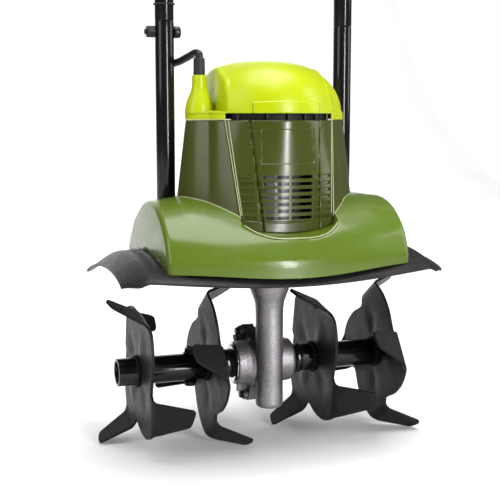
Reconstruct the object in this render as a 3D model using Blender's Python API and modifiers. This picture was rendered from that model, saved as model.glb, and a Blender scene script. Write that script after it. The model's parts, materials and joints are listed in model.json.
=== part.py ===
"""Electric garden tiller: motor tower over a worm gearbox that turns four tines, with a folding handle.

Metres, +Z up, +X to the right of someone facing the machine, front towards -Y.
Every piece is modelled from the centre of the tine axle, and the empty "tiller" lifts that centre to its
height above the ground.
"""

import math

import bmesh
import bpy
from mathutils import Matrix, Vector

# ---- Driving dimensions -------------------------------------------------------------------------------------

AXLE_HEIGHT = 0.08576
AXLE_Y = -0.07625

GAP = 0.0003

SHAFT_RADIUS = 0.0100
TINE_TUBE_RADIUS = 0.01475
TINE_TUBE_BORE = 0.0112
TINE_TUBE_INNER_X = {"left": 0.0385, "right": 0.0370}
TINE_TUBE_OUTER_X = 0.1625
TINE_PLATE_X = {"outer_left": -0.1385, "inner_left": -0.0625, "inner_right": 0.0625, "outer_right": 0.1385}
TINE_ANGLE = math.radians(-11.2)
TINE_STAGGER = math.radians(44.4)
TINE_THICKNESS = 0.003
TINE_BEND_START = 0.060
TINE_BEND_RADIUS = 0.012
TINE_BEND_ANGLE = math.radians(64)
HITCH_BOLT_X = 0.0820

WORM_Y = -0.026
WORM_PITCH_RADIUS = 0.0070
WHEEL_TEETH = 36
WHEEL_PITCH_RADIUS = 0.0190
WHEEL_WIDTH = 0.008

COLUMN_RADIUS = 0.0149
COLUMN_BORE = 0.0105
COLUMN_BOTTOM = -0.0455
CASE_RADIUS = 0.0240
CASE_CAVITY = 0.0215
CASE_RIGHT_X = 0.0335
COVER_FACE_X = -0.0083
COVER_FLANGE_X = -0.0160
COVER_LEFT_X = -0.0330
COVER_SCREWS = [(0.0190, 0.0310), (0.0050, -0.0375), (0.0385, -0.0100)]
COVER_EAR_RADIUS = 0.0075
COVER_DISC = (0.0090, 0.0, 0.0285)
BEARING_RADIUS = 0.0160

GUARD_CREST_Z = 0.130
GUARD_CREST_Y = -0.020
GUARD_HALF_WIDTH = 0.175
GUARD_THICKNESS = 0.0025

BASE_HALF_WIDTH = 0.130
BASE_WALL = 0.003
BASE_BOW = 0.024

TOWER_TOP_Z = 0.265
TOWER_FOOT_Z = 0.181
TOWER_WALL = 0.003
PANEL_FRONT_Y = -0.0855
PANEL_WALL = 0.0025
VENT_ROWS = 7
VENT_PITCH = 0.00685
VENT_TOP_Z = 0.20835

CAP_BOTTOM_Z = 0.2720
CAP_HEIGHT = 0.0547
CAP_CENTRE_Y = -0.010
CAP_WALL = 0.0025
BOSS_X = -0.0735
BOSS_Y = -0.014
BOSS_TOP_Z = 0.3110

MOTOR_RADIUS = 0.042

HANDLE_TUBE_RADIUS = 0.010
HANDLE_TUBE_BORE = 0.0086
HANDLE_X = 0.102
HANDLE_Y = 0.0175
LOWER_TUBE_BOTTOM = 0.134
TUBE_JOINT_Z = 0.3675
TUBE_BOLT_Z = 0.3565
FOLD_Z = 0.560
UPPER_LEG_X = 0.1235

CABLE_RADIUS = 0.004


# ---- Materials ----------------------------------------------------------------------------------------------

PALETTE = {
    "olive_plastic": ((0.155, 0.225, 0.030), 0.35, 0.0),
    "dark_olive_plastic": ((0.105, 0.150, 0.026), 0.38, 0.0),
    "lime_plastic": ((0.600, 0.790, 0.004), 0.25, 0.0),
    "guard_black": ((0.030, 0.029, 0.031), 0.45, 0.0),
    "tine_black": ((0.025, 0.023, 0.024), 0.40, 0.3),
    "tube_black": ((0.012, 0.011, 0.013), 0.30, 0.0),
    "cast_aluminium": ((0.430, 0.420, 0.430), 0.45, 1.0),
    "bare_steel": ((0.550, 0.550, 0.560), 0.30, 1.0),
    "bronze": ((0.520, 0.330, 0.120), 0.35, 1.0),
    "copper": ((0.560, 0.210, 0.080), 0.35, 1.0),
    "black_rubber": ((0.015, 0.015, 0.016), 0.60, 0.0),
    "black_plastic": ((0.020, 0.020, 0.021), 0.40, 0.0),
    "black_foam": ((0.018, 0.018, 0.018), 0.90, 0.0),
    "red_plastic": ((0.420, 0.020, 0.012), 0.30, 0.0),
}


def material(slot):
    found = bpy.data.materials.get(slot)
    if found:
        return found
    colour, roughness, metallic = PALETTE[slot]
    made = bpy.data.materials.new(slot)
    made.use_nodes = True
    shader = made.node_tree.nodes["Principled BSDF"]
    shader.inputs["Base Color"].default_value = (*colour, 1)
    shader.inputs["Roughness"].default_value = roughness
    shader.inputs["Metallic"].default_value = metallic
    return made


# ---- Scene and modelling helpers ----------------------------------------------------------------------------

for old in list(bpy.data.objects):
    bpy.data.objects.remove(old, do_unlink=True)

PARTS = bpy.data.collections.new("tiller_parts")
CUTTERS = bpy.data.collections.new("cutters")
bpy.context.scene.collection.children.link(PARTS)
bpy.context.scene.collection.children.link(CUTTERS)

TURN_TO_X = (0, math.pi / 2, 0)
TURN_TO_Y = (-math.pi / 2, 0, 0)


def empty(name, location, parent=None):
    made = bpy.data.objects.new(name, None)
    made.location = location
    made.parent = parent
    PARTS.objects.link(made)
    return made


def place(name, data, slot, parent, location=(0, 0, 0), rotation=(0, 0, 0)):
    """Links a finished piece, or a cutter when slot is None."""
    made = bpy.data.objects.new(name, data)
    made.location = location
    made.rotation_euler = rotation
    made.parent = parent
    if slot is None:
        CUTTERS.objects.link(made)
        made.hide_render = True
        made.display_type = "WIRE"
    else:
        PARTS.objects.link(made)
        data.materials.append(material(slot))
    return made


def shade(mesh, angle=math.radians(35)):
    mesh.shade_smooth()
    mesh.set_sharp_from_angle(angle=angle)


def mesh_from(bm, name):
    bmesh.ops.recalc_face_normals(bm, faces=bm.faces)
    mesh = bpy.data.meshes.new(name)
    bm.to_mesh(mesh)
    bm.free()
    shade(mesh)
    return mesh


def boolean(target, tool, operation="DIFFERENCE"):
    step = target.modifiers.new(operation.lower() + "_" + tool.name, "BOOLEAN")
    step.operation = operation
    step.object = tool
    return target


def cylinder_mesh(name, radius, low, high, sides=20, top_radius=None):
    """A cylinder or cone along Z from low to high."""
    bm = bmesh.new()
    top = radius if top_radius is None else top_radius
    middle = Matrix.Translation((0, 0, (low + high) / 2))
    bmesh.ops.create_cone(
        bm, cap_ends=True, segments=sides, radius1=radius, radius2=top, depth=high - low, matrix=middle
    )
    return mesh_from(bm, name)


def box_mesh(name, low, high, bevel=0.0, segments=2):
    bm = bmesh.new()
    size = [b - a for a, b in zip(low, high)]
    centre = [(a + b) / 2 for a, b in zip(low, high)]
    bmesh.ops.create_cube(bm, size=1, matrix=Matrix.Translation(centre) @ Matrix.Diagonal((*size, 1)))
    if bevel:
        bmesh.ops.bevel(bm, geom=bm.edges, offset=bevel, segments=segments, profile=0.5, affect="EDGES")
    return mesh_from(bm, name)


def turned(name, profile, slot, parent, location=(0, 0, 0), rotation=(0, 0, 0), steps=20):
    """Turns a closed (radius, height) outline about its own Z axis."""
    mesh = bpy.data.meshes.new(name)
    points = [(radius, 0, height) for radius, height in profile]
    touches_axis = profile[0][0] == 0
    count = len(points)
    edges = [(i, i + 1) for i in range(count - 1)]
    if not touches_axis:
        edges.append((count - 1, 0))
    mesh.from_pydata(points, edges, [])
    made = place(name, mesh, slot, parent, location, rotation)
    screw = made.modifiers.new("turn", "SCREW")
    screw.axis = "Z"
    screw.angle = 2 * math.pi
    screw.steps = steps
    screw.render_steps = steps
    screw.use_merge_vertices = True
    screw.merge_threshold = 0.00001
    screw.use_smooth_shade = False
    return made


def ring(name, outer, inner, low, high, slot, parent, location=(0, 0, 0), rotation=(0, 0, 0), steps=20):
    profile = [(outer, high), (outer, low), (inner, low), (inner, high)]
    return turned(name, profile, slot, parent, location, rotation, steps)


def curve_tube(name, points, radius, slot, parent, resolution=3, capped=True):
    """A round rod that follows the points, or an open skin when it isn't capped."""
    data = bpy.data.curves.new(name, "CURVE")
    data.dimensions = "3D"
    data.bevel_depth = radius
    data.bevel_resolution = resolution
    data.use_fill_caps = capped
    spline = data.splines.new("POLY")
    spline.points.add(len(points) - 1)
    for slot_point, point in zip(spline.points, points):
        slot_point.co = (*point, 1)
    return place(name, data, slot, parent)


def as_mesh(curve_object):
    """Replaces a curve object by a mesh of it, with its caps welded on."""
    graph = bpy.context.evaluated_depsgraph_get()
    graph.update()
    mesh = bpy.data.meshes.new_from_object(curve_object.evaluated_get(graph))
    bm = bmesh.new()
    bm.from_mesh(mesh)
    bmesh.ops.remove_doubles(bm, verts=bm.verts, dist=0.000001)
    bmesh.ops.recalc_face_normals(bm, faces=bm.faces)
    bm.to_mesh(mesh)
    bm.free()
    name = curve_object.name
    collection = curve_object.users_collection[0]
    curve_object.name = name + "_curve"
    made = bpy.data.objects.new(name, mesh)
    made.parent = curve_object.parent
    made.matrix_world = curve_object.matrix_world
    made.hide_render = curve_object.hide_render
    made.display_type = curve_object.display_type
    collection.objects.link(made)
    bpy.data.objects.remove(curve_object, do_unlink=True)
    return made


def rounded_path(corners, radii, steps=5):
    """Points of a bent tube: straight runs between the corners, with an arc of the given radius at each."""
    corners = [Vector(c) for c in corners]
    points = [corners[0]]
    for before, corner, after, radius in zip(corners, corners[1:], corners[2:], radii):
        into = (corner - before).normalized()
        out = (after - corner).normalized()
        turn = into.angle(out)
        axis = into.cross(out).normalized()
        start = corner - into * radius * math.tan(turn / 2)
        centre = start + axis.cross(into) * radius
        for k in range(steps + 1):
            spin = Matrix.Rotation(turn * k / steps, 3, axis)
            points.append(centre + spin @ (start - centre))
    points.append(corners[-1])
    return points


def smooth_path(points, per_span=3):
    """A Catmull-Rom curve through the points."""
    points = [Vector(p) for p in points]
    ends = [2 * points[0] - points[1], *points, 2 * points[-1] - points[-2]]
    curve = []
    for a, b, c, d in zip(ends, ends[1:], ends[2:], ends[3:]):
        for k in range(per_span):
            t = k / per_span
            curve.append(
                0.5 * (2 * b + (c - a) * t + (2 * a - 5 * b + 4 * c - d) * t**2 + (3 * b - a - 3 * c + d) * t**3)
            )
    curve.append(points[-1])
    return curve


def grid_bmesh(rows, closed=False):
    """An open sheet of quads through rows of points."""
    bm = bmesh.new()
    verts = [[bm.verts.new(p) for p in row] for row in rows]
    for lower, upper in zip(verts, verts[1:]):
        count = len(lower)
        for i in range(count if closed else count - 1):
            j = (i + 1) % count
            bm.faces.new((lower[i], lower[j], upper[j], upper[i]))
    return bm, verts


def shell(name, bm, thickness, slot, parent, inward=True):
    mesh = mesh_from(bm, name)
    made = place(name, mesh, slot, parent)
    wall = made.modifiers.new("wall", "SOLIDIFY")
    wall.thickness = thickness
    wall.offset = -1 if inward else 1
    wall.use_even_offset = True
    return made


def smoothstep(value, low, high):
    t = min(max((value - low) / (high - low), 0), 1)
    return t * t * (3 - 2 * t)


# ---- Axes ---------------------------------------------------------------------------------------------------

tiller = empty("tiller", (0, AXLE_Y, AXLE_HEIGHT))
tine_axis = empty("tine_axis", (0, 0, 0), tiller)
drive_axis = empty("drive_axis", (0, WORM_Y, 0), tiller)
fold_axis = empty("fold_axis", (0, HANDLE_Y, FOLD_Z), tiller)


# ---- Guard plate --------------------------------------------------------------------------------------------


def guard_height(y):
    """Upper face of the guard away from its ends: a flat crest that falls more steeply towards the front."""
    if y > GUARD_CREST_Y:
        return GUARD_CREST_Z - 1.4 * (y - GUARD_CREST_Y) ** 2
    return GUARD_CREST_Z - 0.021 * ((GUARD_CREST_Y - y) / 0.095) ** 2.4


def guard_rows(x_steps, y_steps):
    rows = []
    for i in range(x_steps + 1):
        x = GUARD_HALF_WIDTH * math.sin(math.pi / 2 * (2 * i / x_steps - 1))
        across = abs(x) / GUARD_HALF_WIDTH
        corner = 0.014 * smoothstep(across, 0.90, 1.0)
        front = -0.102 - 0.020 * math.cos(math.pi / 2 * across) + corner
        back = 0.112 - corner
        droop = 0.014 * smoothstep(abs(x), 0.148, 0.178)
        row = []
        for j in range(y_steps + 1):
            y = front + (back - front) * j / y_steps
            row.append((x, y, guard_height(y) - droop))
        rows.append(row)
    return rows


def make_guard():
    bm, _ = grid_bmesh(guard_rows(12, 10))
    guard = shell("guard_plate", bm, GUARD_THICKNESS, "guard_black", tiller)
    shaft_hole = cylinder_mesh("guard_shaft_hole", 0.012, 0.10, 0.14)
    boolean(guard, place("guard_shaft_hole", shaft_hole, None, tiller, (0, WORM_Y, 0)))
    return guard


# ---- Base hood ----------------------------------------------------------------------------------------------

# Cross-section of the hood seen from its end, from the front foot over the top to the back foot.
BASE_FRONT_FOOT = (-0.0980, 0.1165)
BASE_SECTION = [
    (-0.0980, 0.1270), (-0.0945, 0.1370), (-0.0880, 0.1500), (-0.0770, 0.1635), (-0.0640, 0.1750),
    (-0.0450, 0.1835), (-0.0200, 0.1865), (0.0080, 0.1830), (0.0300, 0.1730), (0.0480, 0.1610),
    (0.0620, 0.1480), (0.0730, 0.1370), (0.0800, 0.1270),
]
BASE_BACK_FOOT = (0.0810, 0.1190)
BASE_SECTION_CENTRE = (-0.010, 0.110)


def base_bow(x, y):
    """How far the front is pushed forward at this place: most in the middle, nothing behind the crest."""
    forward = min(max((-0.040 - y) / 0.058, 0), 1)
    return BASE_BOW * math.cos(math.pi / 2 * min(abs(x) / BASE_HALF_WIDTH, 1)) * forward**1.5


def base_section(x, scale=1.0):
    """The hood's outline at one x, as (y, z) pairs."""
    droop = 0.006 * math.cos(math.pi / 2 * min(abs(x) / BASE_HALF_WIDTH, 1)) ** 2
    foot_y, foot_z = BASE_FRONT_FOOT
    outline = [(foot_y, foot_z - droop), *BASE_SECTION, BASE_BACK_FOOT]
    centre_y, centre_z = BASE_SECTION_CENTRE
    section = []
    for y, z in outline:
        y = y - base_bow(x, y)
        section.append((centre_y + (y - centre_y) * scale, z if z < 0.12 else centre_z + (z - centre_z) * scale))
    return section


def base_top(x, y):
    """Height of the hood's surface at (x, y)."""
    section = base_section(x)
    for (y0, z0), (y1, z1) in zip(section[1:], section[2:]):
        if y0 <= y <= y1:
            return z0 + (z1 - z0) * (y - y0) / (y1 - y0)
    return section[1][1]


# Each station is (x, scale of the section there): the last two round the edge into the end wall.
BASE_STATIONS = [(0.0, 1.0), (0.025, 1.0), (0.05, 1.0), (0.075, 1.0), (0.1, 1.0), (0.123, 0.998), (0.1275, 0.985),
                 (0.130, 0.955)]


def make_base():
    stations = [(-x, s) for x, s in reversed(BASE_STATIONS[1:])] + BASE_STATIONS
    rows = [[(x, y, z) for y, z in base_section(x, s)] for x, s in stations]
    bm, verts = grid_bmesh(rows)
    for end in (verts[0], verts[-1]):
        last = len(end) - 1
        for j in range(last // 2):
            corners = [end[j], end[j + 1], end[last - j - 1], end[last - j]]
            unique = list(dict.fromkeys(corners))
            bm.faces.new(unique)
    base = shell("base_hood", bm, BASE_WALL, "olive_plastic", tiller)

    saddle = []
    steps = 14
    for i in range(steps + 1):
        y = -0.130 + 0.245 * i / steps
        saddle.append((y, guard_height(y) + 0.0008))
    bm, _ = grid_bmesh([[(x, y, z) for y, z in saddle] for x in (-0.15, 0.15)])
    floor = bmesh.ops.extrude_face_region(bm, geom=bm.faces[:])
    for vert in floor["geom"]:
        if isinstance(vert, bmesh.types.BMVert):
            vert.co.z = 0.08
    boolean(base, place("base_saddle", mesh_from(bm, "base_saddle"), None, tiller))

    rows = [[(x, y, z) for x, y in tower_outline(z, -0.0006)] for z in (0.125, 0.145, 0.165, 0.185, 0.215)]
    bm, verts = grid_bmesh(rows, closed=True)
    bm.faces.new(verts[0])
    bm.faces.new(verts[-1])
    boolean(base, place("base_opening", mesh_from(bm, "base_opening"), None, tiller))

    for side in (-1, 1):
        socket = cylinder_mesh("tube_socket", HANDLE_TUBE_RADIUS + GAP, 0.15, 0.20)
        boolean(base, place("tube_socket", socket, None, tiller, (side * HANDLE_X, HANDLE_Y, 0)))
    return base


# ---- Tower --------------------------------------------------------------------------------------------------

# Half outlines of the tower at its top edge and at its foot, from the panel's edge round to the middle of the
# back. Both lists have the same number of points, and heights between them are blended.
TOWER_TOP_OUTLINE = [
    (0.0588, -0.0542), (0.0703, -0.0390), (0.0820, -0.0262), (0.0875, -0.0170), (0.0865, -0.0060),
    (0.0815, 0.0120), (0.0730, 0.0290), (0.0600, 0.0430), (0.0410, 0.0535), (0.0200, 0.0597),
]
TOWER_FOOT_OUTLINE = [
    (0.0515, -0.0760), (0.0739, -0.0512), (0.0900, -0.0320), (0.0975, -0.0190), (0.0972, -0.0080),
    (0.0860, 0.0090), (0.0790, 0.0290), (0.0660, 0.0450), (0.0450, 0.0570), (0.0220, 0.0630),
]


def tower_half(z, inset=0.0):
    t = (TOWER_TOP_Z - z) / (TOWER_TOP_Z - TOWER_FOOT_Z)
    half = []
    for (x0, y0), (x1, y1) in zip(TOWER_TOP_OUTLINE, TOWER_FOOT_OUTLINE):
        x = x0 + (x1 - x0) * t
        y = y0 + (y1 - y0) * t
        away = Vector((x, y - CAP_CENTRE_Y))
        shrink = 1 - inset / away.length
        half.append((x * shrink, CAP_CENTRE_Y + away.y * shrink))
    return half


def panel_y(x, z):
    """The front panel's surface: strongly curved at the top, almost flat at its foot."""
    foot_to_top = (z - 0.157) / (TOWER_TOP_Z - 0.157)
    half_width = 0.050 + 0.0088 * foot_to_top
    curve = 0.006 + 0.0250 * foot_to_top
    return PANEL_FRONT_Y + curve * (x / half_width) ** 2


def tower_outline(z, inset=0.0):
    """The whole closed outline at one height, anticlockwise from the panel's right edge."""
    half = tower_half(z, inset)
    mirrored = [(-x, y) for x, y in reversed(half)]
    front = []
    for x in (-0.030, -0.010, 0.010, 0.030):
        front.append((x, panel_y(x, max(z, 0.157)) + inset))
    return half + mirrored + front


def make_tower():
    heights = [0.0, 0.25, 0.5, 0.75, 1.0]
    rows = []
    for t in heights:
        row = []
        top = tower_half(TOWER_TOP_Z)
        foot = tower_half(TOWER_FOOT_Z)
        both = list(zip(top, foot))
        outline = both + [((-a[0], a[1]), (-b[0], b[1])) for a, b in reversed(both)]
        for upper, lower in outline:
            z_foot = base_top(*lower) - 0.0040
            x_foot, y_foot = blend_to(upper, lower, z_foot)
            z = TOWER_TOP_Z + (z_foot - TOWER_TOP_Z) * t
            x = upper[0] + (x_foot - upper[0]) * t
            y = upper[1] + (y_foot - upper[1]) * t
            row.append((x, y, z))
        rows.append(row)
    bm, _ = grid_bmesh(rows)
    tower = shell("tower_shell", bm, TOWER_WALL, "dark_olive_plastic", tiller)

    rows = []
    for z in (0.120, 0.290):
        half = panel_half_width(z) + 0.0004
        rows.append([(-half, -0.13, z), (half, -0.13, z), (half, -0.03, z), (-half, -0.03, z)])
    bm, verts = grid_bmesh(rows, closed=True)
    bm.faces.new(verts[0])
    bm.faces.new(verts[1])
    boolean(tower, place("panel_channel", mesh_from(bm, "panel_channel"), None, tiller))
    return tower


def panel_half_width(z):
    return 0.0488 + 0.0088 * (z - 0.157) / (TOWER_TOP_Z - 0.157)


def blend_to(upper, lower, z):
    """Continues the line from the top outline through the foot outline to height z."""
    t = (TOWER_TOP_Z - z) / (TOWER_TOP_Z - TOWER_FOOT_Z)
    return upper[0] + (lower[0] - upper[0]) * t, upper[1] + (lower[1] - upper[1]) * t


def make_panel():
    columns = 12
    levels = 6
    rows = []
    for j in range(levels + 1):
        row = []
        for i in range(columns + 1):
            side = 2 * i / columns - 1
            foot_x = side * panel_half_width(0.157)
            foot_z = base_top(foot_x, panel_y(foot_x, 0.155)) - 0.0040
            z = foot_z + (TOWER_TOP_Z - foot_z) * j / levels
            x = side * panel_half_width(z)
            row.append((x, panel_y(x, z), z))
        rows.append(row)
    bm, _ = grid_bmesh(rows)
    panel = shell("front_vent_panel", bm, PANEL_WALL, "dark_olive_plastic", tiller)

    slots = bmesh.new()
    for row in range(VENT_ROWS):
        z = VENT_TOP_Z - row * VENT_PITCH
        for low, high in ((-0.0275, -0.0018), (0.0018, 0.0265)):
            size = (high - low, 0.040, 0.0036)
            centre = ((low + high) / 2, PANEL_FRONT_Y + 0.010, z)
            bmesh.ops.create_cube(slots, size=1, matrix=Matrix.Translation(centre) @ Matrix.Diagonal((*size, 1)))
    boolean(panel, place("vent_slots", mesh_from(slots, "vent_slots"), None, tiller))
    return panel


# ---- Top cap ------------------------------------------------------------------------------------------------


def cap_point(edge, reach):
    """A point of the dome: edge is on the rim outline, and reach runs from 0 at the crown to 1 at the rim."""
    x = edge[0] * reach
    y = CAP_CENTRE_Y + (edge[1] - CAP_CENTRE_Y) * reach
    dome = math.sqrt(max(1 - reach**2.7, 0))
    shoulder = 1 - 0.80 * smoothstep(-x, 0.058, 0.068) * smoothstep(0.045 - y, 0.0, 0.020)
    return x, y, CAP_BOTTOM_Z + CAP_HEIGHT * dome * shoulder


CAP_REACHES = [1.0, 0.985, 0.95, 0.88, 0.78, 0.66, 0.52, 0.36, 0.18]


def make_cap():
    outline = tower_outline(TOWER_TOP_Z)
    half_count = len(TOWER_TOP_OUTLINE)
    skirt_count = 2 * half_count
    rows = [[cap_point(edge, reach) for edge in outline] for reach in CAP_REACHES]
    bm, verts = grid_bmesh(rows, closed=True)
    crown = bm.verts.new(cap_point(outline[0], 0))
    top_ring = verts[-1]
    for i, vert in enumerate(top_ring):
        bm.faces.new((vert, top_ring[(i + 1) % len(top_ring)], crown))
    skirt = [bm.verts.new((x, y, TOWER_TOP_Z + 0.0008)) for x, y in outline[:skirt_count]]
    rim = verts[0]
    for i in range(skirt_count - 1):
        bm.faces.new((skirt[i], skirt[i + 1], rim[i + 1], rim[i]))
    cap = shell("top_cap", bm, CAP_WALL, "lime_plastic", tiller)

    boss_profile = [
        (0, BOSS_TOP_Z), (0.0075, BOSS_TOP_Z), (0.0079, 0.3000), (0.0087, 0.2955), (0.0110, 0.2903),
        (0.0130, 0.2850), (0.0143, 0.2800), (0.0148, 0.2740), (0, 0.2740),
    ]
    boss = turned("cable_boss", boss_profile, None, tiller, (BOSS_X, BOSS_Y, 0), steps=20)
    boolean(cap, boss, "UNION")
    bore = cylinder_mesh("cable_bore", 0.0064, 0.270, 0.320, 16)
    boolean(cap, place("cable_bore", bore, None, tiller, (BOSS_X, BOSS_Y, 0)))
    return cap


# ---- Gearbox ------------------------------------------------------------------------------------------------


def make_gearbox():
    column_profile = [
        (0, 0.1252), (0.0240, 0.1252), (0.0240, 0.1040), (0.0215, 0.0880), (0.0172, 0.0780),
        (COLUMN_RADIUS, 0.0700), (COLUMN_RADIUS, -0.0410), (0.0125, -0.0440), (0.0090, COLUMN_BOTTOM),
        (0, COLUMN_BOTTOM),
    ]
    case = turned("gearbox_case", column_profile, "cast_aluminium", tiller, (0, WORM_Y, 0))
    housing = cylinder_mesh("case_housing", CASE_RADIUS, -0.0060, CASE_RIGHT_X, 28)
    boolean(case, place("case_housing", housing, None, tiller, (0, 0, 0), TURN_TO_X), "UNION")
    boolean(case, cover_flange("case_flange", COVER_FACE_X + 0.0003, COVER_FACE_X + 0.0053), "UNION")
    bore = cylinder_mesh("column_bore", COLUMN_BORE, -0.0400, 0.1300)
    boolean(case, place("column_bore", bore, None, tiller, (0, WORM_Y, 0)))
    cavity = cylinder_mesh("wheel_cavity", CASE_CAVITY, -0.0095, 0.0070, 28)
    boolean(case, place("wheel_cavity", cavity, None, tiller, (0, 0, 0), TURN_TO_X))
    seat = cylinder_mesh("right_bearing_seat", BEARING_RADIUS + 0.00005, 0.0060, 0.0400)
    boolean(case, place("right_bearing_seat", seat, None, tiller, (0, 0, 0), TURN_TO_X))
    return case


def cover_flange(name, low_x, high_x, slot=None):
    """The oval flange with its three screw ears, as one solid between two x values."""
    discs = [COVER_DISC] + [(y, z, COVER_EAR_RADIUS) for y, z in COVER_SCREWS]
    edge = []
    for y, z, radius in discs:
        edge += [Vector((y + radius * math.cos(a), z + radius * math.sin(a))) for a in steps_round(24)]
    outline = hull(edge)
    rows = [[(x, p.x, p.y) for p in outline] for x in (low_x, high_x)]
    bm, verts = grid_bmesh(rows, closed=True)
    bm.faces.new(verts[0])
    bm.faces.new(verts[1])
    return place(name, mesh_from(bm, name), slot, tiller)


def hull(points):
    """The convex outline round the points, anticlockwise."""
    points = sorted(points, key=lambda p: (p.x, p.y))
    chains = []
    for ordered in (points, points[::-1]):
        chain = []
        for p in ordered:
            while len(chain) > 1 and (chain[-1] - chain[-2]).cross(p - chain[-1]) <= 1e-9:
                chain.pop()
            chain.append(p)
        chains.append(chain[:-1])
    return chains[0] + chains[1]


def steps_round(count):
    return [2 * math.pi * i / count for i in range(count)]


def make_cover():
    cover = cover_flange("gearbox_cover", COVER_FLANGE_X, COVER_FACE_X, "cast_aluminium")
    boss = cylinder_mesh("cover_boss", CASE_RADIUS - 0.0005, COVER_LEFT_X, -0.0120, 28, CASE_RADIUS + 0.0025)
    boolean(cover, place("cover_boss", boss, None, tiller, (0, 0, 0), TURN_TO_X), "UNION")
    column = cylinder_mesh("column_clearance", COLUMN_RADIUS + 0.0004, -0.0600, 0.0600)
    boolean(cover, place("column_clearance", column, None, tiller, (0, WORM_Y, 0)))
    pocket = cylinder_mesh("cover_pocket", CASE_CAVITY - 0.0015, -0.0110, -0.0050, 28)
    boolean(cover, place("cover_pocket", pocket, None, tiller, (0, 0, 0), TURN_TO_X))
    seat = cylinder_mesh("left_bearing_seat", BEARING_RADIUS + 0.00005, -0.0400, -0.0100)
    boolean(cover, place("left_bearing_seat", seat, None, tiller, (0, 0, 0), TURN_TO_X))
    for number, (y, z) in enumerate(COVER_SCREWS, 1):
        hole = cylinder_mesh("cover_screw_hole", 0.0024, -0.024, 0.0, 12)
        boolean(cover, place("cover_screw_hole", hole, None, tiller, (0, y, z), TURN_TO_X))
        head_and_shank = [
            (0, COVER_FLANGE_X - 0.0043), (0, -0.0087), (0.0021, -0.0087), (0.0021, COVER_FLANGE_X - GAP),
            (0.0042, COVER_FLANGE_X - GAP), (0.0042, COVER_FLANGE_X - 0.0036), (0.0036, COVER_FLANGE_X - 0.0043),
        ]
        turned(f"cover_screw_{number}", downward(head_and_shank), "bare_steel", tiller, (0, y, z), TURN_TO_X, 12)
    return cover


def downward(profile):
    """Orders a solid's outline so that it starts and ends on the axis and runs down its outer side."""
    on_axis = [p for p in profile if p[0] == 0]
    off_axis = [p for p in profile if p[0] != 0]
    top = max(on_axis, key=lambda p: p[1])
    bottom = min(on_axis, key=lambda p: p[1])
    body = off_axis if off_axis[0][1] > off_axis[-1][1] else off_axis[::-1]
    return [top, *body, bottom]


def make_bearings_and_seals():
    for side, name in ((-1, "left"), (1, "right")):
        low, high = sorted((side * 0.0130, side * 0.0210))
        ring(f"bearing_{name}", BEARING_RADIUS, SHAFT_RADIUS + GAP, low, high, "bare_steel", tiller, (0, 0, 0),
             TURN_TO_X)
    bore = SHAFT_RADIUS + GAP
    left_seal = [(BEARING_RADIUS, -0.0214), (BEARING_RADIUS, -0.0358), (0.0150, -0.0372),
                 (0.0140, -0.0380), (bore, -0.0380), (bore, -0.0214)]
    turned("shaft_seal_left", left_seal, "black_rubber", tiller, (0, 0, 0), TURN_TO_X)
    right_seal = [(bore, 0.0363), (0.0130, 0.0363), (0.0140, 0.0353), (0.0140, 0.0335), (BEARING_RADIUS, 0.0330),
                  (BEARING_RADIUS, 0.0214), (bore, 0.0214)]
    turned("shaft_seal_right", right_seal, "black_rubber", tiller, (0, 0, 0), TURN_TO_X)
    collar = [(0.0226, COVER_LEFT_X - GAP), (0.0215, -0.0354), (BEARING_RADIUS + GAP, -0.0354),
              (BEARING_RADIUS + GAP, COVER_LEFT_X - GAP)]
    turned("retaining_ring", collar, "bare_steel", tiller, (0, 0, 0), TURN_TO_X, 28)


# ---- Tines and output shaft ---------------------------------------------------------------------------------

# One arm of the flat blank, (along the arm, across it): leading lobe, tapered blade, then the notch.
TINE_ARM = [
    (0.0060, -0.0573), (0.0216, -0.0600), (0.0340, -0.0594), (0.0460, -0.0568), (0.0570, -0.0515),
    (0.0645, -0.0458), (0.0700, -0.0415), (0.1005, -0.0289), (0.1044, -0.0266), (0.1068, -0.0226),
    (0.1092, -0.0127), (0.1088, -0.0097), (0.1065, -0.0080), (0.0740, -0.0054), (0.0630, -0.0052),
    (0.0570, -0.0010),
]


def tine_blank(name):
    """The flat four-armed plate, with its hub hole, in its own XY plane."""
    data = bpy.data.curves.new(name, "CURVE")
    data.dimensions = "2D"
    data.fill_mode = "BOTH"
    data.extrude = TINE_THICKNESS / 2
    outline = []
    for arm in range(4):
        spin = Matrix.Rotation(TINE_ANGLE + arm * math.pi / 2, 2)
        outline += [spin @ Vector(p) for p in TINE_ARM]
    hole = [((TINE_TUBE_RADIUS + GAP) * math.cos(a), (TINE_TUBE_RADIUS + GAP) * math.sin(a)) for a in steps_round(20)]
    for loop in (outline, hole):
        spline = data.splines.new("POLY")
        spline.points.add(len(loop) - 1)
        for target, point in zip(spline.points, loop):
            target.co = (point[0], point[1], 0, 1)
        spline.use_cyclic_u = True
    return place(name, data, "tine_black", tine_axis)


def bend_arm(bm, angle, towards):
    """Bends what lies past the bend line of one arm out of the plate, towards +Z or -Z."""
    along = Vector((math.cos(angle), math.sin(angle), 0))
    steps = 4
    arc = TINE_BEND_RADIUS * TINE_BEND_ANGLE
    for k in range(steps + 1):
        at = along * (TINE_BEND_START + arc * k / steps)
        geometry = bm.verts[:] + bm.edges[:] + bm.faces[:]
        bmesh.ops.bisect_plane(bm, geom=geometry, plane_co=at, plane_no=along, dist=0.00001)
    for vert in bm.verts:
        past = vert.co.dot(along) - TINE_BEND_START
        if past <= 0.00001:
            continue
        turn = min(past / TINE_BEND_RADIUS, TINE_BEND_ANGLE)
        straight = max(past - arc, 0)
        offset = vert.co.z * towards
        forward = TINE_BEND_RADIUS * math.sin(turn) + straight * math.cos(turn) - offset * math.sin(turn)
        sideways = TINE_BEND_RADIUS * (1 - math.cos(turn)) + straight * math.sin(turn) + offset * math.cos(turn)
        vert.co += along * (forward - past)
        vert.co.z = sideways * towards


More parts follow.
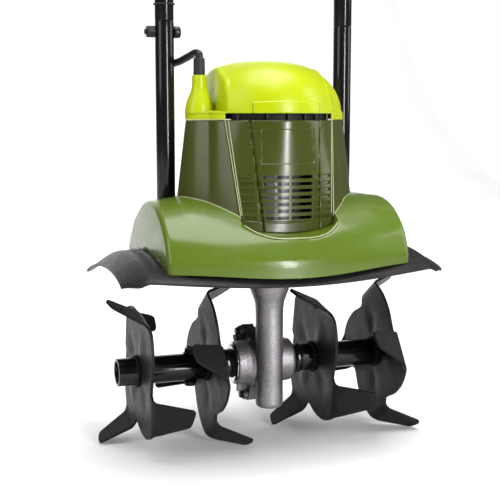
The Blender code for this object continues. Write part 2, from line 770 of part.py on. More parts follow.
def make_tines():
    facing = Matrix(((0, 0, -1), (-1, 0, 0), (0, 1, 0))).to_euler()
    for name, x in TINE_PLATE_X.items():
        tine = as_mesh(tine_blank(f"tine_{name}"))
        bm = bmesh.new()
        bm.from_mesh(tine.data)
        for arm in range(4):
            towards_left = arm % 2
            bend_arm(bm, TINE_ANGLE + arm * math.pi / 2, 1 if towards_left else -1)
        bmesh.ops.recalc_face_normals(bm, faces=bm.faces)
        bm.to_mesh(tine.data)
        bm.free()
        shade(tine.data)
        staggered = name in ("inner_left", "outer_right")
        tine.location = (x, 0, 0)
        tine.rotation_euler = facing
        if staggered:
            tine.rotation_euler = (Matrix.Rotation(TINE_STAGGER, 3, "X") @ facing.to_matrix()).to_euler()


def make_tine_tubes():
    for side, name in ((-1, "left"), (1, "right")):
        low, high = sorted((side * TINE_TUBE_INNER_X[name], side * TINE_TUBE_OUTER_X))
        tube = ring(f"tine_tube_{name}", TINE_TUBE_RADIUS, TINE_TUBE_BORE, low, high, "tube_black", tine_axis,
                    (0, 0, 0), TURN_TO_X)
        hole = cylinder_mesh("tube_bolt_hole", 0.0034, -0.02, 0.02, 12)
        boolean(tube, place("tube_bolt_hole", hole, None, tine_axis, (side * HITCH_BOLT_X, 0, 0)))
        bolt = downward([
            (0, -0.0215), (0.0050, -0.0215), (0.0060, -0.0205), (0.0060, -0.0160), (0.0031, -0.0160),
            (0.0031, 0.0235), (0, 0.0235),
        ])
        turned(f"hitch_bolt_{name}", bolt, "tube_black", tine_axis, (side * HITCH_BOLT_X, 0, 0), steps=12)
        ring(f"hitch_nut_{name}", 0.0066, 0.0038, 0.0160, 0.0212, "tube_black", tine_axis,
             (side * HITCH_BOLT_X, 0, 0), steps=6)


def make_output_shaft():
    shaft = turned(
        "output_shaft",
        downward([(0, 0.0960), (0.0090, 0.0960), (SHAFT_RADIUS, 0.0950), (SHAFT_RADIUS, -0.0950), (0.0090, -0.0960),
                  (0, -0.0960)]),
        "bare_steel", tine_axis, (0, 0, 0), TURN_TO_X,
    )
    for side in (-1, 1):
        hole = cylinder_mesh("shaft_bolt_hole", 0.0034, -0.02, 0.02, 12)
        boolean(shaft, place("shaft_bolt_hole", hole, None, tine_axis, (side * HITCH_BOLT_X, 0, 0)))


def make_worm_wheel():
    """A wheel whose teeth lean by the worm's lead angle, meshing at the front with the worm."""
    module = 2 * WHEEL_PITCH_RADIUS / WHEEL_TEETH
    lead = module / (2 * WORM_PITCH_RADIUS)
    lean = lead * WHEEL_WIDTH / 2 / WHEEL_PITCH_RADIUS
    root = WHEEL_PITCH_RADIUS - 0.95 * module
    tip = WHEEL_PITCH_RADIUS + 0.75 * module
    tooth = [(-0.26, root), (-0.10, tip), (0.10, tip), (0.26, root)]
    rows = []
    for x, twist in ((-WHEEL_WIDTH / 2, -lean), (WHEEL_WIDTH / 2, lean)):
        row = []
        for n in range(WHEEL_TEETH):
            for offset, radius in tooth:
                angle = (n + offset) * 2 * math.pi / WHEEL_TEETH + twist
                row.append((x, -radius * math.cos(angle), radius * math.sin(angle)))
        rows.append(row)
    bm, verts = grid_bmesh(rows, closed=True)
    bm.faces.new(verts[0])
    bm.faces.new(verts[1])
    wheel = place("worm_wheel", mesh_from(bm, "worm_wheel"), "bronze", tine_axis)
    bore = cylinder_mesh("wheel_bore", SHAFT_RADIUS + 0.0003, -0.010, 0.010)
    boolean(wheel, place("wheel_bore", bore, None, tine_axis, (0, 0, 0), TURN_TO_X))


# ---- Motor and worm -----------------------------------------------------------------------------------------

FAN_Z = (0.1340, 0.1480)
CORE_Z = (0.1560, 0.2060)
COMMUTATOR_Z = (0.2180, 0.2340)


def make_drive_shaft():
    module = 2 * WHEEL_PITCH_RADIUS / WHEEL_TEETH
    pitch = math.pi * module
    core = WORM_PITCH_RADIUS - 1.05 * module
    shaft = turned(
        "drive_shaft",
        [(0, 0.2560), (0.0040, 0.2560), (0.0040, 0.1300), (0.0055, 0.1290), (0.0055, 0.0200), (core, 0.0170),
         (core, -0.0170), (0.0045, -0.0190), (0.0045, -0.0390), (0, -0.0390)],
        "bare_steel", drive_axis, steps=14,
    )
    sides = 14
    turns = 5
    rows = []
    for k in range(turns * sides + 1):
        angle = 2 * math.pi * k / sides
        z = (k / sides - turns / 2) * pitch
        ray = Vector((math.sin(angle), math.cos(angle), 0))
        row = []
        for radius, rise in ((core - 0.0004, -0.24), (WORM_PITCH_RADIUS + 0.70 * module, -0.09),
                             (WORM_PITCH_RADIUS + 0.70 * module, 0.09), (core - 0.0004, 0.24)):
            row.append(ray * radius + Vector((0, 0, z + rise * pitch)))
        rows.append(row)
    bm, verts = grid_bmesh(rows, closed=True)
    bm.faces.new(verts[0])
    bm.faces.new(verts[-1])
    thread = place("worm_thread", mesh_from(bm, "worm_thread"), None, drive_axis)
    boolean(shaft, thread, "UNION")


def make_armature():
    low, high = CORE_Z
    outline = []
    poles = 12
    for n in range(poles):
        for offset, radius in ((-0.32, 0.0240), (-0.34, 0.0255), (0.34, 0.0255), (0.32, 0.0240), (0.32, 0.0200),
                               (0.68, 0.0200)):
            angle = (n + offset) * 2 * math.pi / poles
            outline.append((radius * math.cos(angle), radius * math.sin(angle)))
    rows = [[(x, y, z) for x, y in outline] for z in (low, high)]
    bm, verts = grid_bmesh(rows, closed=True)
    bm.faces.new(verts[0])
    bm.faces.new(verts[1])
    core = place("armature_core", mesh_from(bm, "armature_core"), "bare_steel", drive_axis)
    bore = cylinder_mesh("armature_bore", 0.0043, low - 0.01, high + 0.01, 16)
    boolean(core, place("armature_bore", bore, None, drive_axis))
    ring("commutator", 0.0120, 0.0042, *COMMUTATOR_Z, "copper", drive_axis)


def make_fan():
    low, high = FAN_Z
    hub = ring("cooling_fan", 0.0100, 0.0042, low, high, "black_plastic", drive_axis)
    disc = turned("fan_disc", [(0.0090, low + 0.0025), (0.0380, low + 0.0025), (0.0380, low + 0.0005),
                               (0.0090, low + 0.0005)], None, drive_axis)
    boolean(hub, disc, "UNION")
    for n in range(8):
        blade = box_mesh("fan_blade", (0.0095, -0.0008, low + 0.0010), (0.0365, 0.0008, high))
        boolean(hub, place("fan_blade", blade, None, drive_axis, (0, 0, 0), (0, 0, n * math.pi / 4)), "UNION")


def make_motor():
    ring("motor_stator", MOTOR_RADIUS, 0.0270, *CORE_Z, "bare_steel", tiller, (0, WORM_Y, 0), steps=28)
    for side, name in ((-1, "left"), (1, "right")):
        coil = ring(f"field_coil_{name}", 0.0400, 0.0285, CORE_Z[1] + GAP, CORE_Z[1] + 0.0090, "copper", tiller,
                    (0, WORM_Y, 0), steps=24)
        half = box_mesh("coil_half", (-0.05, -0.05, 0.19), (0.05, 0.05, 0.23))
        boolean(coil, place("coil_half", half, None, tiller, (-side * 0.0480, WORM_Y, 0)))
        brush = box_mesh(f"brush_{name}", (0.0123, -0.0032, 0.2225), (0.0260, 0.0032, 0.2295), 0.0006, 1)
        place(f"brush_{name}", brush, "black_plastic", tiller, (0, WORM_Y, 0), (0, 0, math.pi if side < 0 else 0))
    bracket = turned(
        "motor_end_bracket",
        [(0.0200, 0.2460), (MOTOR_RADIUS, 0.2460), (MOTOR_RADIUS, CORE_Z[1] + GAP), (0.0403, CORE_Z[1] + GAP),
         (0.0403, 0.2435), (0.0115, 0.2435), (0.0115, 0.2500), (0.0140, 0.2500), (0.0140, 0.2460)],
        "cast_aluminium", tiller, (0, WORM_Y, 0), steps=28,
    )
    for turn in (math.pi / 2, -math.pi / 2):
        window = box_mesh("bracket_window", (0.03, -0.020, 0.2200), (0.05, 0.020, 0.2400))
        boolean(bracket, place("bracket_window", window, None, tiller, (0, WORM_Y, 0), (0, 0, turn)))
    ring("motor_bearing", 0.0112, 0.00405, 0.2440, 0.2495, "bare_steel", tiller, (0, WORM_Y, 0))


# ---- Handle -------------------------------------------------------------------------------------------------


def bolt_profile(length, head_radius, shank_radius, head_height=0.0045):
    """A bolt along Z: its shank runs from 0 up to length, and its head is below 0."""
    return [(0, length), (shank_radius, length), (shank_radius, 0), (head_radius, 0),
            (head_radius, -0.7 * head_height), (0.75 * head_radius, -head_height), (0, -head_height)]


def make_lower_handle():
    for side, name in ((-1, "left"), (1, "right")):
        lower = ring(f"lower_tube_{name}", HANDLE_TUBE_RADIUS, HANDLE_TUBE_BORE, LOWER_TUBE_BOTTOM, TUBE_JOINT_Z,
                     "tube_black", tiller, (side * HANDLE_X, HANDLE_Y, 0), steps=20)
        neck = HANDLE_TUBE_BORE - 0.0002
        middle = turned(
            f"middle_tube_{name}",
            [(HANDLE_TUBE_RADIUS, FOLD_Z + 0.0150), (HANDLE_TUBE_RADIUS, TUBE_JOINT_Z + GAP),
             (neck, TUBE_JOINT_Z + GAP), (neck, TUBE_JOINT_Z - 0.0350), (0.0070, TUBE_JOINT_Z - 0.0350),
             (0.0070, FOLD_Z + 0.0150)],
            "tube_black", tiller, (side * HANDLE_X, HANDLE_Y, 0), steps=20,
        )
        crossing = TURN_TO_X if side < 0 else TURN_TO_Y
        for tube, z in ((lower, TUBE_BOLT_Z), (middle, TUBE_BOLT_Z)):
            hole = cylinder_mesh("joint_hole", 0.0033, -0.015, 0.015, 12)
            boolean(tube, place("joint_hole", hole, None, tiller, (side * HANDLE_X, HANDLE_Y, z), crossing))
        hole = cylinder_mesh("fold_hole", 0.0033, -0.015, 0.015, 12)
        boolean(middle, place("fold_hole", hole, None, tiller, (side * HANDLE_X, HANDLE_Y, FOLD_Z), TURN_TO_X))

    z = TUBE_BOLT_Z
    head_x = -HANDLE_X + HANDLE_TUBE_RADIUS
    turned("joint_bolt_left", bolt_profile(0.0315, 0.0062, 0.0030, 0.0070), "tube_black", tiller, (head_x + GAP, HANDLE_Y, z),
           (0, -math.pi / 2, 0), 12)
    nut_x = -HANDLE_X - HANDLE_TUBE_RADIUS
    ring("joint_nut_left", 0.0068, 0.0037, GAP, 0.0090, "tube_black", tiller, (nut_x, HANDLE_Y, z),
         (0, -math.pi / 2, 0), 6)
    turned("joint_screw_right", bolt_profile(0.0200, 0.0055, 0.0030, 0.0035), "tube_black", tiller,
           (HANDLE_X, HANDLE_Y + HANDLE_TUBE_RADIUS + GAP, z), (math.pi / 2, 0, 0), 12)


UPPER_HALF_WIDTH = 0.175
BAR_Y = 0.235
BAR_Z = 0.390


def make_upper_handle():
    left = [(-UPPER_LEG_X, 0, -0.018), (-UPPER_LEG_X, 0, 0.080), (-UPPER_HALF_WIDTH, BAR_Y, BAR_Z)]
    right = [(-x, y, z) for x, y, z in reversed(left)]
    path = rounded_path(left + right, [0.090, 0.045, 0.045, 0.090])
    handle = as_mesh(curve_tube("upper_handle", path, HANDLE_TUBE_RADIUS, "tube_black", fold_axis, 3, False))
    wall = handle.modifiers.new("wall", "SOLIDIFY")
    wall.thickness = HANDLE_TUBE_RADIUS - HANDLE_TUBE_BORE
    wall.offset = -1
    for side in (-1, 1):
        hole = cylinder_mesh("upper_fold_hole", 0.0033, -0.015, 0.015, 12)
        boolean(handle, place("upper_fold_hole", hole, None, fold_axis, (side * UPPER_LEG_X, 0, 0), TURN_TO_X))
    for side, name in ((-1, "left"), (1, "right")):
        ring(f"grip_{name}", 0.0155, HANDLE_TUBE_RADIUS + GAP, 0.0560, 0.1200, "black_foam", fold_axis,
             (0, BAR_Y, BAR_Z), (0, side * math.pi / 2, 0), steps=20)


def make_fold_hardware():
    """On each side a bolt from the inside through both tubes, and a winged knob on its outer end."""
    for side, name in ((-1, "left"), (1, "right")):
        outward = (0, side * math.pi / 2, 0)
        head_x = side * (HANDLE_X - HANDLE_TUBE_RADIUS - GAP)
        turned(f"fold_bolt_{name}", bolt_profile(0.0500, 0.0065, 0.0030), "bare_steel", tiller,
               (head_x, HANDLE_Y, FOLD_Z), outward, 12)
        knob_x = side * (UPPER_LEG_X + HANDLE_TUBE_RADIUS + 0.0005)
        axis = empty(f"knob_axis_{name}", (knob_x, HANDLE_Y, FOLD_Z), tiller)
        knob = ring(f"fold_knob_{name}", 0.0110, 0.0032, 0.0000, 0.0160, "black_plastic", axis, (0, 0, 0), outward, 18)
        wing = box_mesh("knob_wing", (-0.0240, -0.0035, 0.0050), (0.0240, 0.0035, 0.0200), 0.0030, 2)
        boolean(knob, place("knob_wing", wing, None, axis, (0, 0, 0), outward), "UNION")
        bore = cylinder_mesh("knob_bore", 0.0032, -0.001, 0.0125, 12)
        boolean(knob, place("knob_bore", bore, None, axis, (0, 0, 0), outward))


BOX_HALF = 0.040
LEVER_Z = -0.027


def make_switch():
    """Switch box around the middle of the handle bar, with its lever, safety button and power inlet."""
    centre = (0, BAR_Y, BAR_Z)
    box = place("switch_box", box_mesh("switch_box", (-BOX_HALF, -0.026, -0.036), (BOX_HALF, 0.022, 0.022), 0.006),
                "black_plastic", fold_axis, centre)
    inside = box_mesh("box_inside", (-BOX_HALF + 0.003, -0.023, -0.033), (BOX_HALF - 0.003, 0.019, -0.0125))
    boolean(box, place("box_inside", inside, None, fold_axis, centre))
    bar = cylinder_mesh("bar_hole", HANDLE_TUBE_RADIUS + GAP, -0.06, 0.06, 20)
    boolean(box, place("bar_hole", bar, None, fold_axis, centre, TURN_TO_X))
    button_hole = cylinder_mesh("button_hole", 0.0072, 0.0120, 0.0260, 20)
    boolean(box, place("button_hole", button_hole, None, fold_axis, (0, BAR_Y, BAR_Z)))
    inlet_hole = box_mesh("inlet_hole", (-0.0163, -0.0133, -0.0400), (0.0163, 0.0093, -0.0250))
    boolean(box, place("inlet_hole", inlet_hole, None, fold_axis, centre))

    button_axis = empty("button_axis", (0, BAR_Y, BAR_Z + 0.020), fold_axis)
    button = [(0, 0.0060), (0.0050, 0.0060), (0.0068, 0.0045), (0.0068, -0.0035), (0, -0.0035)]
    turned("safety_button", button, "red_plastic", button_axis, steps=20)

    inlet = place("power_inlet", box_mesh("power_inlet", (-0.0160, -0.0130, -0.0500), (0.0160, 0.0090, -0.0253), 0.003),
                  "black_plastic", fold_axis, centre)
    socket = box_mesh("inlet_socket", (-0.0135, -0.0105, -0.0600), (0.0135, 0.0065, -0.0290))
    boolean(inlet, place("inlet_socket", socket, None, fold_axis, centre))
    for x in (-0.0064, 0.0064):
        blade = box_mesh("inlet_blade", (x - 0.0008, -0.0052, -0.0470), (x + 0.0008, 0.0012, -0.0280))
        boolean(inlet, place("inlet_blade", blade, None, fold_axis, centre), "UNION")

    lever_axis = empty("lever_axis", (0, BAR_Y, BAR_Z + LEVER_Z), fold_axis)
    reach_y = -0.046
    reach_z = 0.033
    arm_x = 0.0480
    lever = place("switch_lever", cylinder_mesh("switch_lever", 0.0045, -0.118, 0.118, 14), "black_plastic", lever_axis,
                  (0, reach_y, reach_z), TURN_TO_X)
    for side in (-1, 1):
        arm = curve_tube("lever_arm", rounded_path([(side * (BOX_HALF + 0.0005), 0, 0), (side * arm_x, 0, 0),
                                                    (side * arm_x, reach_y, reach_z)], [0.005], 3),
                         0.0036, None, lever_axis, 2)
        boolean(lever, as_mesh(arm), "UNION")


# ---- Motor cable --------------------------------------------------------------------------------------------

# Route of the cable from the sleeve on the cap, round behind the left tube and up to the fold.
CABLE_LOWER = [
    (BOSS_X, BOSS_Y, 0.3292), (BOSS_X, BOSS_Y + 0.0004, 0.3322), (-0.0755, -0.0070, 0.3340), (-0.0800, 0.0060, 0.3305),
    (-0.0865, 0.0220, 0.3260), (-0.0945, 0.0330, 0.3250), (-0.1005, 0.0348, 0.3330), (-0.1020, 0.0340, 0.3620), (-0.1020, 0.0335, 0.4000), (-0.1020, 0.0335, 0.4500),
    (-0.0985, 0.0325, 0.4950), (-0.0865, 0.0260, 0.5300), (-0.0815, 0.0175, 0.5490),
]
SWIVEL_RADIUS = 0.0085
CABLE_UPPER = [
    (-0.0710, 0.000, 0.0090), (-0.0735, 0.0000, 0.0300), (-0.0920, 0.0010, 0.0580), (-0.1100, 0.0080, 0.0950),
    (-0.1170, 0.0300, 0.1300), (-0.1275, 0.0850, 0.2060), (-0.1400, 0.1450, 0.2880), (-0.1440, 0.1850, 0.3320),
    (-0.1180, 0.2200, 0.3520), (-0.0750, 0.2420, 0.3560), (-0.0405, 0.2480, 0.3600),
]


def make_cable():
    sleeve = [(0, 0.3286), (0.0050, 0.3286), (0.0058, 0.3262), (0.0060, 0.2960), (0, 0.2960)]
    turned("cable_sleeve", sleeve, "black_rubber", tiller, (BOSS_X, BOSS_Y, 0), steps=16)
    curve_tube("motor_cable_lower", smooth_path(CABLE_LOWER), CABLE_RADIUS, "black_rubber", tiller, 2)
    curve_tube("motor_cable_upper", smooth_path(CABLE_UPPER), CABLE_RADIUS, "black_rubber", fold_axis, 2)
    head_x = -(HANDLE_X - HANDLE_TUBE_RADIUS) + 0.0055
    ring("cable_swivel", SWIVEL_RADIUS, 0.0020, 0, 0.0205, "black_plastic", tiller, (head_x, HANDLE_Y, FOLD_Z),
         TURN_TO_X, 20)


make_guard()
make_base()
make_tower()
make_panel()
make_cap()
make_gearbox()
make_cover()
make_bearings_and_seals()
make_tines()
make_tine_tubes()
make_output_shaft()
make_worm_wheel()
make_drive_shaft()
make_armature()
make_fan()
make_motor()
make_lower_handle()
make_upper_handle()
make_fold_hardware()
make_switch()
make_cable()
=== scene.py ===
"""Finished look of the electric tiller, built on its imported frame.

Shapes are made from the centre of the tine axle, the same point that the moving tines turn about.
"""

import json
import math

import bmesh
import bpy
from mathutils import Matrix, Vector, noise


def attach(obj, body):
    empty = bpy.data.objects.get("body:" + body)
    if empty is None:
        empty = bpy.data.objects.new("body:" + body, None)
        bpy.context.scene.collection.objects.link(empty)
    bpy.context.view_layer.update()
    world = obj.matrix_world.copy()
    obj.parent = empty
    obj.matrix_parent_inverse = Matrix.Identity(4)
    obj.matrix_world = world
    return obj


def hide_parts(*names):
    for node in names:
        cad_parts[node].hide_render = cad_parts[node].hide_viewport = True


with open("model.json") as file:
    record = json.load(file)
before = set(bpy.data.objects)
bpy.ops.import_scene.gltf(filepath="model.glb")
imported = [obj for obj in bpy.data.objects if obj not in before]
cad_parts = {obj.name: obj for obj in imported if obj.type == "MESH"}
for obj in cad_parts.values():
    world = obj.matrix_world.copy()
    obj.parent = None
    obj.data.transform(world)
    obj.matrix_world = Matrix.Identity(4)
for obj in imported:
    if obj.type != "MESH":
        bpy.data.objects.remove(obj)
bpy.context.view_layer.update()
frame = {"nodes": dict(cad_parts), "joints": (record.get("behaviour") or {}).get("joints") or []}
nodes = frame["nodes"]
joints = {joint["name"]: joint for joint in frame["joints"]}

AXLE = Vector(joints["tine_spin"]["pos_m"])
FOLD = Vector(joints["handle_fold"]["pos_m"]) - AXLE

STILL = Matrix.Identity(4)
TURN_TO_X = Matrix.Rotation(math.pi / 2, 4, "Y")
TURN_TO_LEFT = Matrix.Rotation(-math.pi / 2, 4, "Y")
TURN_TO_BACK = Matrix.Rotation(-math.pi / 2, 4, "X")


# ---- Numbers and curves -------------------------------------------------------------------------------------


def smoothstep(value, low, high):
    t = min(max((value - low) / (high - low), 0), 1)
    return t * t * (3 - 2 * t)


def bump(value, centre, half_width):
    """A smooth hump of height 1 at the centre that is 0 beyond the half width."""
    t = abs(value - centre) / half_width
    return (1 - t * t) ** 2 if t < 1 else 0


def catmull(points, per_span=8, closed=False):
    """A smooth curve through the points, given as tuples of any length."""
    points = [Vector(p) for p in points]
    if closed:
        ends = [points[-1], *points, points[0], points[1]]
    else:
        ends = [2 * points[0] - points[1], *points, 2 * points[-1] - points[-2]]
    curve = []
    for a, b, c, d in zip(ends, ends[1:], ends[2:], ends[3:]):
        for k in range(per_span):
            t = k / per_span
            curve.append(
                0.5 * (2 * b + (c - a) * t + (2 * a - 5 * b + 4 * c - d) * t**2 + (3 * b - a - 3 * c + d) * t**3)
            )
    if not closed:
        curve.append(points[-1])
    return curve


def interpolate(table, x):
    """The value at x of a table of (x, value) pairs in rising order."""
    if x <= table[0][0]:
        return table[0][1]
    for (x0, v0), (x1, v1) in zip(table, table[1:]):
        if x <= x1:
            return v0 + (v1 - v0) * (x - x0) / (x1 - x0)
    return table[-1][1]


def round_angles(count):
    return [2 * math.pi * i / count for i in range(count)]


def spread(low, high, count):
    return [low + (high - low) * i / count for i in range(count + 1)]


def rounded_path(corners, radii, steps=12):
    corners = [Vector(c) for c in corners]
    points = [corners[0]]
    for before, corner, after, radius in zip(corners, corners[1:], corners[2:], radii):
        into = (corner - before).normalized()
        out = (after - corner).normalized()
        turn = into.angle(out)
        axis = into.cross(out).normalized()
        start = corner - into * radius * math.tan(turn / 2)
        centre = start + axis.cross(into) * radius
        for k in range(steps + 1):
            points.append(centre + Matrix.Rotation(turn * k / steps, 3, axis) @ (start - centre))
    points.append(corners[-1])
    return points


# ---- Materials ----------------------------------------------------------------------------------------------


class Shader:
    """A Principled material whose colour, roughness and relief come from object-space noise."""

    def __init__(self, name, roughness, metallic=0.0, coat=0.0, coat_roughness=0.1, specular=0.5):
        self.material = bpy.data.materials.new(name)
        self.material.use_nodes = True
        self.tree = self.material.node_tree
        self.principled = self.tree.nodes["Principled BSDF"]
        self.principled.inputs["Metallic"].default_value = metallic
        self.principled.inputs["Roughness"].default_value = roughness
        self.principled.inputs["Coat Weight"].default_value = coat
        self.principled.inputs["Coat Roughness"].default_value = coat_roughness
        self.principled.inputs["Specular IOR Level"].default_value = specular
        self.place = self.node("ShaderNodeTexCoord").outputs["Object"]
        self.height = None

    def node(self, kind, **settings):
        made = self.tree.nodes.new(kind)
        for key, value in settings.items():
            setattr(made, key, value)
        return made

    def link(self, output, target):
        self.tree.links.new(output, target)

    def noise(self, scale, detail=3.0, roughness=0.5, stretch=None):
        made = self.node("ShaderNodeTexNoise")
        made.inputs["Scale"].default_value = scale
        made.inputs["Detail"].default_value = detail
        made.inputs["Roughness"].default_value = roughness
        place = self.place
        if stretch:
            mapping = self.node("ShaderNodeMapping")
            mapping.inputs["Scale"].default_value = stretch
            self.link(place, mapping.inputs["Vector"])
            place = mapping.outputs["Vector"]
        self.link(place, made.inputs["Vector"])
        return made.outputs["Fac"]

    def ramp(self, source, stops):
        made = self.node("ShaderNodeValToRGB")
        elements = made.color_ramp.elements
        while len(elements) < len(stops):
            elements.new(0.5)
        for element, (at, colour) in zip(elements, stops):
            element.position = at
            element.color = (*colour, 1)
        self.link(source, made.inputs["Fac"])
        return made.outputs["Color"]

    def colours(self, source, dark, light, low=0.35, high=0.65):
        self.link(self.ramp(source, [(low, dark), (high, light)]), self.principled.inputs["Base Color"])

    def roughness_between(self, source, low, high):
        made = self.node("ShaderNodeMapRange")
        made.inputs["From Min"].default_value = 0.3
        made.inputs["From Max"].default_value = 0.7
        made.inputs["To Min"].default_value = low
        made.inputs["To Max"].default_value = high
        self.link(source, made.inputs["Value"])
        self.link(made.outputs["Result"], self.principled.inputs["Roughness"])

    def relief(self, source, depth, strength=1.0):
        """Adds a bump of the given depth in metres on top of those already there."""
        made = self.node("ShaderNodeBump")
        made.inputs["Strength"].default_value = strength
        made.inputs["Distance"].default_value = depth
        self.link(source, made.inputs["Height"])
        if self.height:
            self.link(self.height, made.inputs["Normal"])
        self.height = made.outputs["Normal"]
        self.link(self.height, self.principled.inputs["Normal"])


def scaled(colour, factor):
    return tuple(c * factor for c in colour)


def moulded_plastic(name, colour, low_rough, high_rough, grain=0.00004, coat=0.0, shade=0.90, gloss=0.35):
    """Injection-moulded plastic: faint flow marks, a fine spark-eroded grain and a slightly uneven gloss."""
    s = Shader(name, low_rough, coat=coat, coat_roughness=0.08, specular=gloss)
    s.colours(s.noise(7.0, 4.0, 0.55, (1.0, 1.0, 2.2)), scaled(colour, shade), colour)
    s.roughness_between(s.noise(42.0, 3.0), low_rough, high_rough)
    s.relief(s.noise(2600.0, 2.0), grain, 0.35)
    s.relief(s.noise(28.0, 2.0), 0.00035, 0.12)
    return s.material


def painted_steel(name, colour, low_rough, high_rough, peel=0.00008, gloss=0.3):
    """Powder coat: orange peel, small blotches and an uneven gloss."""
    s = Shader(name, low_rough, specular=gloss)
    s.colours(s.noise(60.0, 5.0, 0.6), scaled(colour, 0.78), scaled(colour, 1.15))
    s.roughness_between(s.noise(95.0, 4.0, 0.6), low_rough, high_rough)
    s.relief(s.noise(900.0, 2.0), peel, 0.5)
    s.relief(s.noise(120.0, 2.0), 0.0002, 0.15)
    return s.material


def cast_metal(name, colour, low_rough, high_rough, depth=0.00022):
    """Shot-blasted casting: pits and raised grain over a soft cloudy tone; the raised grain is painted brighter, a
    painted glint.
    """
    s = Shader(name, low_rough, metallic=0.85)
    cloud = s.noise(38.0, 4.0, 0.6)
    grain_and_glint = s.noise(900.0, 2.0, 0.6)
    mixed = s.node("ShaderNodeMix", data_type="FLOAT")
    mixed.inputs["Factor"].default_value = 0.6
    s.link(cloud, mixed.inputs["A"])
    s.link(grain_and_glint, mixed.inputs["B"])
    # The casting's own cloudy tone mixed with the raised grain: partly own colour, partly painted glints on the grain.
    s.colours(mixed.outputs["Result"], scaled(colour, 0.62), scaled(colour, 1.18), 0.38, 0.62)
    s.roughness_between(s.noise(300.0, 3.0), low_rough, high_rough)
    pits = s.node("ShaderNodeTexVoronoi")
    pits.inputs["Scale"].default_value = 1100.0
    s.link(s.place, pits.inputs["Vector"])
    s.relief(pits.outputs["Distance"], depth, 0.7)
    s.relief(grain_and_glint, depth, 0.6)
    return s.material


def turned_metal(name, colour, low_rough, high_rough, stretch=(1.0, 60.0, 60.0)):
    """Machined metal: fine lines left by the tool, with a little tarnish."""
    s = Shader(name, low_rough, metallic=1.0)
    s.colours(s.noise(55.0, 4.0), scaled(colour, 0.7), colour)
    lines = s.noise(900.0, 2.0, 0.5, stretch)
    s.roughness_between(lines, low_rough, high_rough)
    s.relief(lines, 0.00003, 0.4)
    return s.material


def rubber(name, colour, scale=1400.0, rough=0.55):
    s = Shader(name, rough, specular=0.4)
    s.colours(s.noise(70.0, 4.0), scaled(colour, 0.8), scaled(colour, 1.25))
    s.roughness_between(s.noise(160.0, 3.0), rough - 0.08, rough + 0.12)
    s.relief(s.noise(scale, 3.0), 0.0001, 0.5)
    return s.material


def foam(name, colour):
    """Closed-cell foam: small open pores all over a dull skin, the pores painted darker as painted shade."""
    s = Shader(name, 0.95, specular=0.25)
    cells = s.node("ShaderNodeTexVoronoi")
    cells.inputs["Scale"].default_value = 750.0
    s.link(s.place, cells.inputs["Vector"])
    # Pits of the relief get the dark end of the ramp: painted shade in the pores.
    s.colours(cells.outputs["Distance"], scaled(colour, 0.4), scaled(colour, 1.5), 0.1, 0.6)
    s.relief(cells.outputs["Distance"], 0.0004, 0.8)
    return s.material


def windings(name, colour):
    """Varnished copper wire laid side by side, with painted shade in the grooves between the wires."""
    s = Shader(name, 0.3, metallic=0.9)
    wave = s.node("ShaderNodeTexWave", wave_type="RINGS", rings_direction="Z")
    wave.inputs["Scale"].default_value = 260.0
    wave.inputs["Distortion"].default_value = 0.6
    s.link(s.place, wave.inputs["Vector"])
    # The wave's low bands, the grooves of the relief, get the dark end: painted shade between the wires.
    s.colours(wave.outputs["Fac"], scaled(colour, 0.4), colour, 0.1, 0.9)
    s.relief(wave.outputs["Fac"], 0.0002, 0.8)
    return s.material


OLIVE = moulded_plastic("olive_plastic", (0.088, 0.140, 0.010), 0.22, 0.30, coat=0.20)
# The hood's olive plastic made darker: painted shade for the tower and vent panel, which stand in shade.
SHADED_OLIVE = moulded_plastic("olive_plastic_painted_shade", (0.048, 0.056, 0.007), 0.18, 0.26, coat=0.12)
# Pale, near-white olive for thin lines along edges and creases: painted highlights.
HIGHLIGHT_OLIVE = moulded_plastic("olive_painted_highlight", (0.36, 0.39, 0.20), 0.14, 0.20, coat=0.4)
LIME = moulded_plastic("lime_plastic", (0.400, 0.485, 0.0), 0.28, 0.36, shade=0.95)
GUARD_PAINT = painted_steel("guard_paint", (0.016, 0.015, 0.016), 0.34, 0.48, gloss=0.16)
TINE_PAINT = painted_steel("tine_paint", (0.011, 0.0095, 0.0105), 0.36, 0.50, gloss=0.12)
TUBE_PAINT = painted_steel("tube_paint", (0.005, 0.0045, 0.006), 0.12, 0.20, 0.00004, 0.35)
BOLT_BLACK = painted_steel("bolt_black", (0.012, 0.011, 0.012), 0.25, 0.4, 0.00004)
CAST = cast_metal("cast_aluminium", (0.30, 0.285, 0.30), 0.34, 0.52)
POLISHED = turned_metal("polished_steel", (0.80, 0.80, 0.82), 0.12, 0.24)
STEEL = turned_metal("machined_steel", (0.50, 0.50, 0.52), 0.24, 0.38)
LAMINATED = turned_metal("laminated_steel", (0.32, 0.32, 0.34), 0.35, 0.5, (30.0, 30.0, 400.0))
BRONZE = turned_metal("bronze", (0.50, 0.30, 0.10), 0.3, 0.42)
COPPER = windings("copper_winding", (0.55, 0.20, 0.06))
COMMUTATOR = turned_metal("commutator_copper", (0.70, 0.33, 0.18), 0.25, 0.4, (1.0, 1.0, 90.0))
RUBBER = rubber("black_rubber", (0.010, 0.010, 0.011))
CABLE = rubber("cable_sheath", (0.009, 0.009, 0.010), 900.0, 0.38)
BLACK_PLASTIC = moulded_plastic("black_plastic", (0.014, 0.014, 0.015), 0.42, 0.55, 0.00012)
# Near black, darker than the black plastic: painted shade for the inside of the cap's slot.
SLOT_SHADE = moulded_plastic("slot_painted_shade", (0.006, 0.006, 0.005), 0.55, 0.7)
FOAM = foam("grip_foam", (0.016, 0.016, 0.016))
RED = moulded_plastic("red_plastic", (0.45, 0.012, 0.008), 0.22, 0.3)


# ---- Pieces -------------------------------------------------------------------------------------------------


